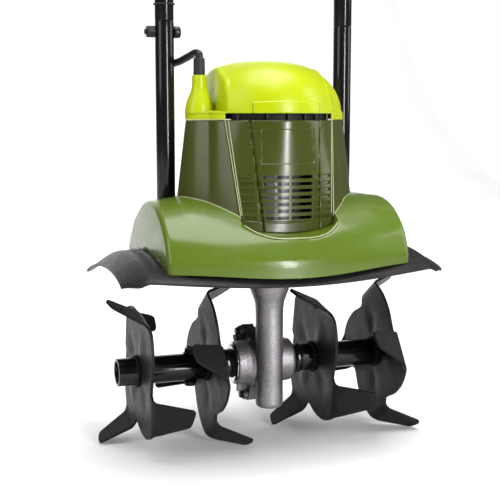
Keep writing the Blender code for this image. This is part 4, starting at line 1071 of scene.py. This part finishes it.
def tine_blank():
    """The flat plate with its hub hole, cut by a grid of lines so that it can be pressed and bent smoothly."""
    data = bpy.data.curves.new("tine_blank", "CURVE")
    data.dimensions = "2D"
    data.fill_mode = "BOTH"
    data.extrude = TINE_THICKNESS / 2
    outline = []
    for arm in range(4):
        spin = Matrix.Rotation(TINE_ANGLE + arm * math.pi / 2, 2)
        lobe = catmull(TINE_LOBE, 4)
        tip = catmull(TINE_TIP, 3)
        heel = catmull(TINE_HEEL, 5)
        outline += [spin @ Vector(p) for p in lobe + tip + heel]
    hole = [(TUBE_RADIUS * math.cos(a), TUBE_RADIUS * math.sin(a)) for a in round_angles(56)]
    for loop in (outline, hole):
        spline = data.splines.new("POLY")
        spline.points.add(len(loop) - 1)
        for target, point in zip(spline.points, loop):
            target.co = (point[0], point[1], 0, 1)
        spline.use_cyclic_u = True
    holder = bpy.data.objects.new("tine_blank", data)
    bpy.context.scene.collection.objects.link(holder)
    graph = bpy.context.evaluated_depsgraph_get()
    mesh = bpy.data.meshes.new_from_object(holder.evaluated_get(graph))
    bpy.data.objects.remove(holder)
    bm = bmesh.new()
    bm.from_mesh(mesh)
    bpy.data.meshes.remove(mesh)
    bmesh.ops.remove_doubles(bm, verts=bm.verts, dist=0.000002)
    for angle in (0, math.pi / 2):
        along = Vector((math.cos(TINE_ANGLE + angle), math.sin(TINE_ANGLE + angle), 0))
        for at in spread(-0.057, 0.057, 30):
            cut(bm, along * at, along)
    arc = BEND_RADIUS * BEND_ANGLE
    for arm in range(4):
        angle = TINE_ANGLE + arm * math.pi / 2
        along = Vector((math.cos(angle), math.sin(angle), 0))
        for at in spread(BEND_START, BEND_START + arc, 10) + spread(BEND_START + arc, 0.106, 8)[1:]:
            cut(bm, along * at, along)
    return bm


def press(bm):
    """Presses shallow stiffening flutes between the hub and the arms, alternately to either side."""
    for vert in bm.verts:
        radius = vert.co.xy.length
        angle = math.atan2(vert.co.y, vert.co.x) - TINE_ANGLE
        wave = math.cos(2 * (angle - math.radians(62)))
        depth = 0.0022 * bump(radius, 0.034, 0.022)
        crease = math.exp(-((math.remainder(angle - math.radians(62), math.pi / 2)) / 0.28) ** 2)
        vert.co.z += depth * crease * (1 if wave > 0 else -1)


def bend(bm):
    arc = BEND_RADIUS * BEND_ANGLE
    for arm in range(4):
        angle = TINE_ANGLE + arm * math.pi / 2
        along = Vector((math.cos(angle), math.sin(angle), 0))
        towards = 1 if arm % 2 else -1
        for vert in bm.verts:
            past = vert.co.dot(along) - BEND_START
            if past <= 0.00001:
                continue
            turn = min(past / BEND_RADIUS, BEND_ANGLE)
            straight = max(past - arc, 0)
            offset = vert.co.z * towards
            forward = BEND_RADIUS * math.sin(turn) + straight * math.cos(turn) - offset * math.sin(turn)
            rise = BEND_RADIUS * (1 - math.cos(turn)) + straight * math.sin(turn) + offset * math.cos(turn)
            vert.co += along * (forward - past)
            vert.co.z = rise * towards


def weld_bead(name, x):
    """A lumpy fillet weld round the tube beside a tine plate."""
    rows = []
    for a in round_angles(120):
        lump = 0.0004 * math.sin(a * 23) + 0.0003 * noise.noise(Vector((math.cos(a) * 4, math.sin(a) * 4, x * 90)))
        row = []
        for b in round_angles(12):
            radius = TUBE_RADIUS + 0.0003 + (0.0019 + lump) * math.cos(b)
            row.append(((0.0021 + lump) * math.sin(b), radius * math.cos(a), radius * math.sin(a)))
        rows.append(row)
    rows.append(rows[0])
    bm, _ = grid(rows, closed=True)
    bmesh.ops.remove_doubles(bm, verts=bm.verts, dist=0.000001)
    return piece(name, mesh_from(bm, name, 80), "tines", TINE_PAINT, at=AXLE + Vector((x, 0, 0)))


def make_tines():
    facing = Matrix(((0, 0, -1), (-1, 0, 0), (0, 1, 0))).to_4x4()
    blank = tine_blank()
    press(blank)
    bend(blank)
    bmesh.ops.recalc_face_normals(blank, faces=blank.faces)
    for name, x in TINE_PLATE_X.items():
        staggered = name in ("inner_left", "outer_right")
        turn = Matrix.Rotation(TINE_STAGGER if staggered else 0, 4, "X") @ facing
        mesh = mesh_from(blank.copy(), f"tine_plate_{name}", 38)
        mesh.transform(turn)
        tine = piece(f"tine_plate_{name}", mesh, "tines", TINE_PAINT, [f"tine_{name}"], AXLE + Vector((x, 0, 0)))
        bevel(tine, 0.0007, 2, 60)
        for side, offset in (("a", -0.0030), ("b", 0.0030)):
            weld_bead(f"weld_{name}_{side}", x + offset)
    blank.free()

    for side, name, inner_x in ((-1, "left", 0.0385), (1, "right", 0.0370)):
        low, high = sorted((side * inner_x, side * 0.1625))
        profile = [(TUBE_RADIUS, low), (TUBE_RADIUS, high), (0.0118, high), (0.0118, low)]
        lathe(f"tine_tube_skin_{name}", profile, "tines", TUBE_PAINT, AXLE, TURN_TO_X, [f"tine_tube_{name}"], 96)
        collar_x = side * (inner_x + 0.0040)
        collar = [(0.0146, -0.0035), (0.0160, -0.0030), (0.0162, 0.0025), (0.0146, 0.0035)]
        lathe(f"tube_collar_{name}", collar, "tines", TUBE_PAINT, AXLE + Vector((collar_x, 0, 0)), TURN_TO_X, soft=0.0004)
        hitch(side, name)


def hex_profile(name, radius, low, high, body, look, at, turn=None, replaces=(), spin=0.0):
    """A six-sided nut or head with chamfered corners."""
    rows = []
    for height, scale in ((low, 0.93), (low + 0.0006, 1.0), (high - 0.0006, 1.0), (high, 0.93)):
        rows.append([(radius * scale * math.cos(a + spin), radius * scale * math.sin(a + spin), height)
                     for a in round_angles(6)])
    bm, verts = grid(rows, closed=True)
    bm.faces.new(verts[0])
    bm.faces.new(verts[-1])
    made = piece(name, mesh_from(bm, name, 20), body, look, replaces, at, turn)
    bevel(made, 0.0003, 2, 30)
    return made


def hitch(side, name):
    """The bolt, washer and lock nut that hold a tine tube to the output shaft."""
    at = AXLE + Vector((side * 0.0820, 0, 0))
    shank = [(0, -0.0214), (0.0028, -0.0214), (0.0030, 0.0230), (0.0024, 0.0236), (0, 0.0236)]
    lathe(f"hitch_shank_{name}", shank, "tines", BOLT_BLACK, at, None, [f"hitch_bolt_{name}"], 28, 0.0003)
    hex_profile(f"hitch_nut_skin_{name}", 0.0066, 0.0162, 0.0208, "tines", BOLT_BLACK, at, None,
                [f"hitch_nut_{name}"], 0.3)
    hex_profile(f"hitch_head_{name}", 0.0062, -0.0208, -0.0164, "tines", BOLT_BLACK, at, None, (), 0.8)
    for z in (0.0153, -0.0160):
        washer = [(0.0034, z), (0.0074, z), (0.0074, z + 0.0009), (0.0034, z + 0.0009)]
        label = "top" if z > 0 else "bottom"
        lathe(f"hitch_washer_{name}_{label}", washer, "tines", BOLT_BLACK, at, None, (), 40, 0.0002)


# ---- Handle -------------------------------------------------------------------------------------------------

HANDLE_RADIUS = 0.010
HANDLE_X = 0.102
HANDLE_Y = 0.0175
JOINT_Z = 0.3675
BOLT_Z = 0.3565
UPPER_LEG_X = 0.1235
BAR = Vector((0, 0.235, 0.390))


def make_handle():
    for side, name in ((-1, "left"), (1, "right")):
        at = AXLE + Vector((side * HANDLE_X, HANDLE_Y, 0))
        low = base_top(side * HANDLE_X, HANDLE_Y) - 0.012
        lower = [(HANDLE_RADIUS, low), (HANDLE_RADIUS, JOINT_Z), (0.0086, JOINT_Z), (0.0086, low)]
        lathe(f"lower_tube_skin_{name}", lower, "base", TUBE_PAINT, at, None, [f"lower_tube_{name}"], 72)
        top = FOLD.z + 0.0150
        middle = [(HANDLE_RADIUS, JOINT_Z + 0.0004), (HANDLE_RADIUS, top), (0.0072, top), (0.0072, JOINT_Z - 0.03),
                  (0.0084, JOINT_Z - 0.03), (0.0084, JOINT_Z + 0.0004)]
        lathe(f"middle_tube_skin_{name}", middle, "base", TUBE_PAINT, at, None, [f"middle_tube_{name}"], 72)
        plug = [(0, top - 0.004), (0.0071, top - 0.004), (0.0071, top), (0.0096, top), (0.0098, top + 0.0012),
                (0.0080, top + 0.0022), (0, top + 0.0024)]
        lathe(f"tube_end_plug_{name}", plug, "base", BLACK_PLASTIC, at, None, (), 48, 0.0003)
        grommet = [(0.0101, 0.0), (0.0122, 0.0004), (0.0126, 0.0016), (0.0116, 0.0030), (0.0101, 0.0034)]
        seat = at + Vector((0, 0, base_top(side * HANDLE_X, HANDLE_Y) - 0.0016))
        lathe(f"tube_grommet_{name}", grommet, "base", RUBBER, seat, None, (), 60, 0.0004)

    joint = AXLE + Vector((-HANDLE_X, HANDLE_Y, BOLT_Z))
    shank = [(0, -0.0120), (0.0029, -0.0120), (0.0030, 0.0208), (0.0025, 0.0214), (0, 0.0214)]
    lathe("joint_shank", shank, "base", BOLT_BLACK, joint, TURN_TO_LEFT, ["joint_bolt_left"], 28, 0.0003)
    hex_profile("joint_nut", 0.0068, 0.0104, 0.0192, "base", BOLT_BLACK, joint, TURN_TO_LEFT, ["joint_nut_left"], 0.5)
    head = [(0, -0.0170), (0.0050, -0.0170), (0.0061, -0.0162), (0.0063, -0.0130), (0.0063, -0.0103), (0, -0.0103)]
    lathe("joint_head", head, "base", BOLT_BLACK, joint, TURN_TO_LEFT, (), 40, 0.0004)
    screw_at = AXLE + Vector((HANDLE_X, HANDLE_Y, BOLT_Z))
    screw = [(0, 0.0137), (0.0040, 0.0134), (0.0054, 0.0122), (0.0056, 0.0103), (0.0030, 0.0103), (0.0030, -0.0090),
             (0, -0.0090)]
    lathe("joint_screw_skin", screw, "base", BOLT_BLACK, screw_at, TURN_TO_BACK,
          ["joint_screw_right"], 40, 0.0003)


def make_upper_handle():
    fold = AXLE + FOLD
    half_width = 0.175
    left = [(-UPPER_LEG_X, 0, -0.018), (-UPPER_LEG_X, 0, 0.080), (-half_width, BAR.y, BAR.z)]
    right = [(-x, y, z) for x, y, z in reversed(left)]
    path = rounded_path(left + right, [0.090, 0.045, 0.045, 0.090], 20)
    rod("upper_handle_skin", path, HANDLE_RADIUS, "handle", TUBE_PAINT, ["upper_handle"], fold, 12)
    for side, name in ((-1, "left"), (1, "right")):
        foot = fold + Vector((side * UPPER_LEG_X, 0, -0.0180))
        plug = [(0, -0.0026), (0.0080, -0.0024), (0.0098, -0.0012), (0.0099, 0.0002), (0, 0.0002)]
        lathe(f"leg_end_plug_{name}", plug, "handle", BLACK_PLASTIC, foot, None, (), 48, 0.0003)

        low, high = 0.0560, 0.1200
        profile = [(0.0103, low), (0.0140, low), (0.0152, low + 0.0015)]
        for t in spread(0, 1, 16)[1:-1]:
            profile.append((0.0154 + 0.0002 * math.sin(math.pi * t) - 0.0003 * math.cos(t * 40), low + (high - low) * t))
        profile += [(0.0152, high - 0.0015), (0.0140, high), (0.0103, high)]
        outward = Matrix.Rotation(side * math.pi / 2, 4, "Y")
        grip = lathe(f"foam_grip_{name}", profile, "handle", FOAM, fold + BAR, outward, [f"grip_{name}"], 80, 0)

        knob_x = side * (UPPER_LEG_X + HANDLE_RADIUS + 0.0005)
        knob_at = fold + Vector((knob_x, 0, 0))
        make_knob(name, knob_at, outward)
        bolt_at = fold + Vector((side * (HANDLE_X - HANDLE_RADIUS - 0.0003), 0, 0))
        head = [(0, -0.0045), (0.0049, -0.0043), (0.0064, -0.0030), (0.0065, -0.0002), (0.0030, -0.0002),
                (0.0030, 0.0500), (0, 0.0500)]
        lathe(f"fold_bolt_skin_{name}", head, "base", POLISHED, bolt_at, outward, [f"fold_bolt_{name}"], 36, 0.0003)


def make_knob(name, at, turn):
    """A winged clamping knob with a rounded hub."""
    hub = [(0, 0.0185), (0.0075, 0.0182), (0.0098, 0.0165), (0.0108, 0.0120), (0.0110, 0.0010), (0.0104, 0), (0, 0)]
    solids = [
        (lathe_bmesh(hub, 60), STILL),
        (box_solid((-0.0235, -0.0032, 0.0050), (0.0235, 0.0032, 0.0195)), STILL),
    ]
    fused(f"wing_knob_{name}", solids, 0.0006, 5, BLACK_PLASTIC, [f"fold_knob_{name}"], f"knob_{name}", at, turn)


def make_switch():
    """Detail on the switch box: its parting line, screws, lever and button."""
    fold = AXLE + FOLD
    bevel(nodes["switch_box"], 0.0010, 2, 50)
    low, high = Vector((-0.0402, -0.0262)), Vector((0.0402, 0.0222))
    corner = 0.0058
    path = []
    for (x, y), start in (((high.x - corner, low.y + corner), -90), ((high.x - corner, high.y - corner), 0),
                          ((low.x + corner, high.y - corner), 90), ((low.x + corner, low.y + corner), 180)):
        for k in range(7):
            a = math.radians(start + 15 * k)
            path.append(BAR + Vector((x + corner * math.cos(a), y + corner * math.sin(a), -0.0126)))
    path.append(path[0])
    rod("switch_box_seam", path, 0.0005, "handle", RUBBER, (), fold, 3)
    for number, (x, z) in enumerate(((-0.033, -0.029), (0.033, -0.029), (-0.033, 0.0155), (0.033, 0.0155)), 1):
        at = fold + BAR + Vector((x, 0.0219, z))
        head = [(0, 0.0004), (0.0008, 0.0004), (0.0008, 0.0009), (0.0022, 0.0009), (0.0027, 0.0003), (0.0027, -0.0008),
                (0, -0.0008)]
        lathe(f"switch_box_screw_{number}", head, "handle", POLISHED, at, TURN_TO_BACK, (), 28,
              0.0002)

    lever_at = fold + BAR + Vector((0, 0, -0.027))
    reach = Vector((0, -0.046, 0.033))
    bar = [reach + Vector((x, 0, 0)) for x in spread(-0.118, 0.118, 40)]
    radii = [0.72 + 0.28 * math.sin(math.pi * min(max((i - 0.3) / 2.4, 0), 0.5)) if i < 3 else 1 for i in range(41)]
    radii = [min(a, b) for a, b in zip(radii, radii[::-1])]
    rod("lever_bar", bar, 0.0046, "lever", BLACK_PLASTIC, ["switch_lever"], lever_at, 8, radii)
    for side, name in ((-1, "left"), (1, "right")):
        arm = rounded_path([(side * 0.0405, 0, 0), (side * 0.0480, 0, 0), (side * 0.0480, reach.y, reach.z)], [0.005], 8)
        rod(f"lever_arm_{name}", arm, 0.0037, "lever", BLACK_PLASTIC, (), lever_at, 8)
        pivot = [(0, 0.0070), (0.0052, 0.0068), (0.0060, 0.0055), (0.0060, 0.0002), (0, 0.0002)]
        lathe(f"lever_pivot_{name}", pivot, "handle", BLACK_PLASTIC, lever_at + Vector((side * 0.0400, 0, 0)),
              Matrix.Rotation(side * math.pi / 2, 4, "Y"), (), 40, 0.0005)

    button = [(0, 0.0059), (0.0035, 0.0060), (0.0052, 0.0057), (0.0064, 0.0048), (0.0068, 0.0036), (0.0068, -0.0034),
              (0, -0.0034)]
    lathe("button_top", button, "button", RED, fold + BAR + Vector((0, 0, 0.020)), None, ["safety_button"], 56, 0.0003)
    rim = [(0.0074, 0.0218), (0.0100, 0.0220), (0.0104, 0.0230), (0.0096, 0.0240), (0.0078, 0.0240), (0.0074, 0.0232)]
    lathe("button_bezel", rim, "handle", BLACK_PLASTIC, fold + BAR, None, (), 56, 0.0003)


# ---- Motor cable --------------------------------------------------------------------------------------------

CABLE_LOWER = [
    (-0.0735, -0.0140, 0.3280), (-0.0735, -0.0136, 0.3322), (-0.0755, -0.0070, 0.3340), (-0.0800, 0.0060, 0.3305),
    (-0.0865, 0.0220, 0.3260), (-0.0945, 0.0330, 0.3250), (-0.1005, 0.0348, 0.3330), (-0.1020, 0.0340, 0.3620),
    (-0.1020, 0.0335, 0.4000), (-0.1020, 0.0335, 0.4500), (-0.0985, 0.0325, 0.4950), (-0.0865, 0.0260, 0.5300),
    (-0.0815, 0.0175, 0.5490),
]
CABLE_UPPER = [
    (-0.0710, 0.000, 0.0090), (-0.0735, 0.0000, 0.0300), (-0.0920, 0.0010, 0.0580), (-0.1100, 0.0080, 0.0950),
    (-0.1170, 0.0300, 0.1300), (-0.1275, 0.0850, 0.2060), (-0.1400, 0.1450, 0.2880), (-0.1440, 0.1850, 0.3320),
    (-0.1180, 0.2200, 0.3520), (-0.0750, 0.2420, 0.3560), (-0.0405, 0.2480, 0.3600),
]


def make_cable():
    rod("cable_run_lower", catmull(CABLE_LOWER, 12), 0.0040, "base", CABLE, ["motor_cable_lower"], AXLE, 6)
    rod("cable_run_upper", catmull(CABLE_UPPER, 12), 0.0040, "handle", CABLE, ["motor_cable_upper"], AXLE + FOLD, 6)
    sleeve = [(0.0042, 0.3286), (0.0052, 0.3287), (0.0058, 0.3278), (0.0059, 0.3255), (0.0061, 0.3115),
              (0.0063, 0.2965), (0.0042, 0.2965)]
    lathe("cable_sleeve_skin", sleeve, "base", RUBBER, AXLE + Vector((BOSS.x, BOSS.y, 0)), None, ["cable_sleeve"], 56,
          0.0003)
    swivel_at = AXLE + FOLD + Vector((-0.0865, 0, 0))
    swivel = [(0.0022, 0.0205), (0.0072, 0.0205), (0.0084, 0.0194), (0.0085, 0.0108), (0.0078, 0.0103),
              (0.0078, 0.0096), (0.0085, 0.0091), (0.0085, 0.0002), (0.0022, 0.0002)]
    lathe("swivel_skin", swivel, "base", BLACK_PLASTIC, swivel_at, TURN_TO_X, ["cable_swivel"], 56, 0.0004)
    for number, z in enumerate((0.385, 0.470), 1):
        clip = []
        for a in spread(math.radians(35), math.radians(325), 24):
            clip.append((-HANDLE_X + 0.0108 * math.cos(a - math.pi / 2), HANDLE_Y - 0.0108 * math.sin(a - math.pi / 2), z))
        hook = [(-HANDLE_X + 0.0048 * math.cos(a), 0.0335 + 0.0048 * math.sin(a), z)
                for a in spread(math.radians(-50), math.radians(230), 18)]
        rod(f"cable_clip_{number}", clip[::-1] + hook, 0.0009, "base", BLACK_PLASTIC, (), AXLE, 4)


# ---- CAD nodes that keep their shape ------------------------------------------------------------------------


def repaint():
    looks = {
        "output_shaft": STEEL, "drive_shaft": STEEL, "bearing_left": STEEL, "bearing_right": STEEL,
        "motor_bearing": STEEL, "motor_stator": LAMINATED, "armature_core": LAMINATED, "commutator": COMMUTATOR,
        "field_coil_left": COPPER, "field_coil_right": COPPER, "worm_wheel": BRONZE, "motor_end_bracket": CAST,
        "cooling_fan": BLACK_PLASTIC, "brush_left": BLACK_PLASTIC, "brush_right": BLACK_PLASTIC,
        "switch_box": BLACK_PLASTIC, "power_inlet": BLACK_PLASTIC,
    }
    for name, look in looks.items():
        nodes[name].data.materials.clear()
        nodes[name].data.materials.append(look)
    for name in ("output_shaft", "motor_stator", "motor_end_bracket", "power_inlet"):
        bevel(nodes[name], 0.0004, 2, 45)


# ---- Stage, light and camera --------------------------------------------------------------------------------


def area_light(name, at, target, width, height, power):
    data = bpy.data.lights.new(name, "AREA")
    data.shape = "RECTANGLE"
    data.size = width
    data.size_y = height
    data.energy = power
    made = bpy.data.objects.new(name, data)
    bpy.context.scene.collection.objects.link(made)
    made.location = at
    made.rotation_euler = (Vector(target) - Vector(at)).to_track_quat("-Z", "Y").to_euler()


def make_camera():
    heading, dip = math.radians(19.3), math.radians(7.6)
    forward = Vector((math.sin(heading) * math.cos(dip), math.cos(heading) * math.cos(dip), -math.sin(dip)))
    right = Vector((math.cos(heading), -math.sin(heading), 0))
    up = right.cross(forward)
    data = bpy.data.cameras.new("camera")
    data.sensor_width = 36
    data.lens = 72
    data.clip_start = 0.01
    made = bpy.data.objects.new("camera", data)
    bpy.context.scene.collection.objects.link(made)
    made.matrix_world = Matrix.Translation(AXLE + Vector((-0.3704, -1.0206, 0.2687))) @ Matrix(
        (right, up, -forward)).transposed().to_4x4()
    bpy.context.scene.camera = made


def make_stage():
    """A pale seamless sheet: flat under the machine, then curving up far behind it."""
    profile = [(-1.5, 0.0), (2.4, 0.0)]
    for k in range(1, 13):
        a = math.pi / 2 * k / 12
        profile.append((2.4 + 1.6 * math.sin(a), 1.6 * (1 - math.cos(a))))
    profile.append((4.0, 5.0))
    bm, _ = grid([[(x, y, z) for y, z in profile] for x in spread(-2.2, 2.2, 6)])
    sheet_mesh = mesh_from(bm, "studio_sheet")
    sheet = bpy.data.objects.new("studio_sheet", sheet_mesh)
    bpy.context.scene.collection.objects.link(sheet)
    s = Shader("pale_sheet", 0.8)
    s.colours(s.noise(3.0, 3.0), (0.80, 0.80, 0.80), (0.83, 0.83, 0.83))
    s.relief(s.noise(60.0, 2.0), 0.0003, 0.1)
    s.principled.inputs["Emission Color"].default_value = (1, 1, 1, 1)
    s.principled.inputs["Emission Strength"].default_value = 0.05
    sheet_mesh.materials.append(s.material)

    world = bpy.data.worlds.new("studio")
    bpy.context.scene.world = world
    world.use_nodes = True
    tree = world.node_tree
    ambient = tree.nodes["Background"]
    ambient.inputs["Color"].default_value = (1, 1, 1, 1)
    ambient.inputs["Strength"].default_value = 0.14
    white = tree.nodes.new("ShaderNodeBackground")
    white.inputs["Color"].default_value = (1, 1, 1, 1)
    seen = tree.nodes.new("ShaderNodeLightPath")
    mix = tree.nodes.new("ShaderNodeMixShader")
    tree.links.new(seen.outputs["Is Camera Ray"], mix.inputs["Fac"])
    tree.links.new(ambient.outputs[0], mix.inputs[1])
    tree.links.new(white.outputs[0], mix.inputs[2])
    tree.links.new(mix.outputs[0], tree.nodes["World Output"].inputs["Surface"])
    bpy.context.scene.view_settings.view_transform = "Standard"

    middle = AXLE + Vector((0, 0, 0.15))
    area_light("front_strip", middle + Vector((0.50, -1.9, 0.35)), middle, 0.22, 1.2, 33)
    area_light("left_softbox", middle + Vector((-1.9, -0.6, 1.1)), middle, 1.0, 1.7, 17)
    area_light("right_softbox", middle + Vector((1.9, -0.4, 0.8)), middle, 0.8, 1.4, 12)
    area_light("top_softbox", middle + Vector((0.1, -0.1, 2.3)), middle, 2.2, 1.8, 78)
    area_light("sheet_light", (0.0, 1.2, 2.6), (0.0, 3.8, 1.0), 5.0, 1.0, 130)


make_camera()
make_guard()
make_base()
make_tower()
make_panel()
make_cap()
make_gearbox()
make_tines()
make_handle()
make_upper_handle()
make_switch()
make_cable()
repaint()
make_stage()
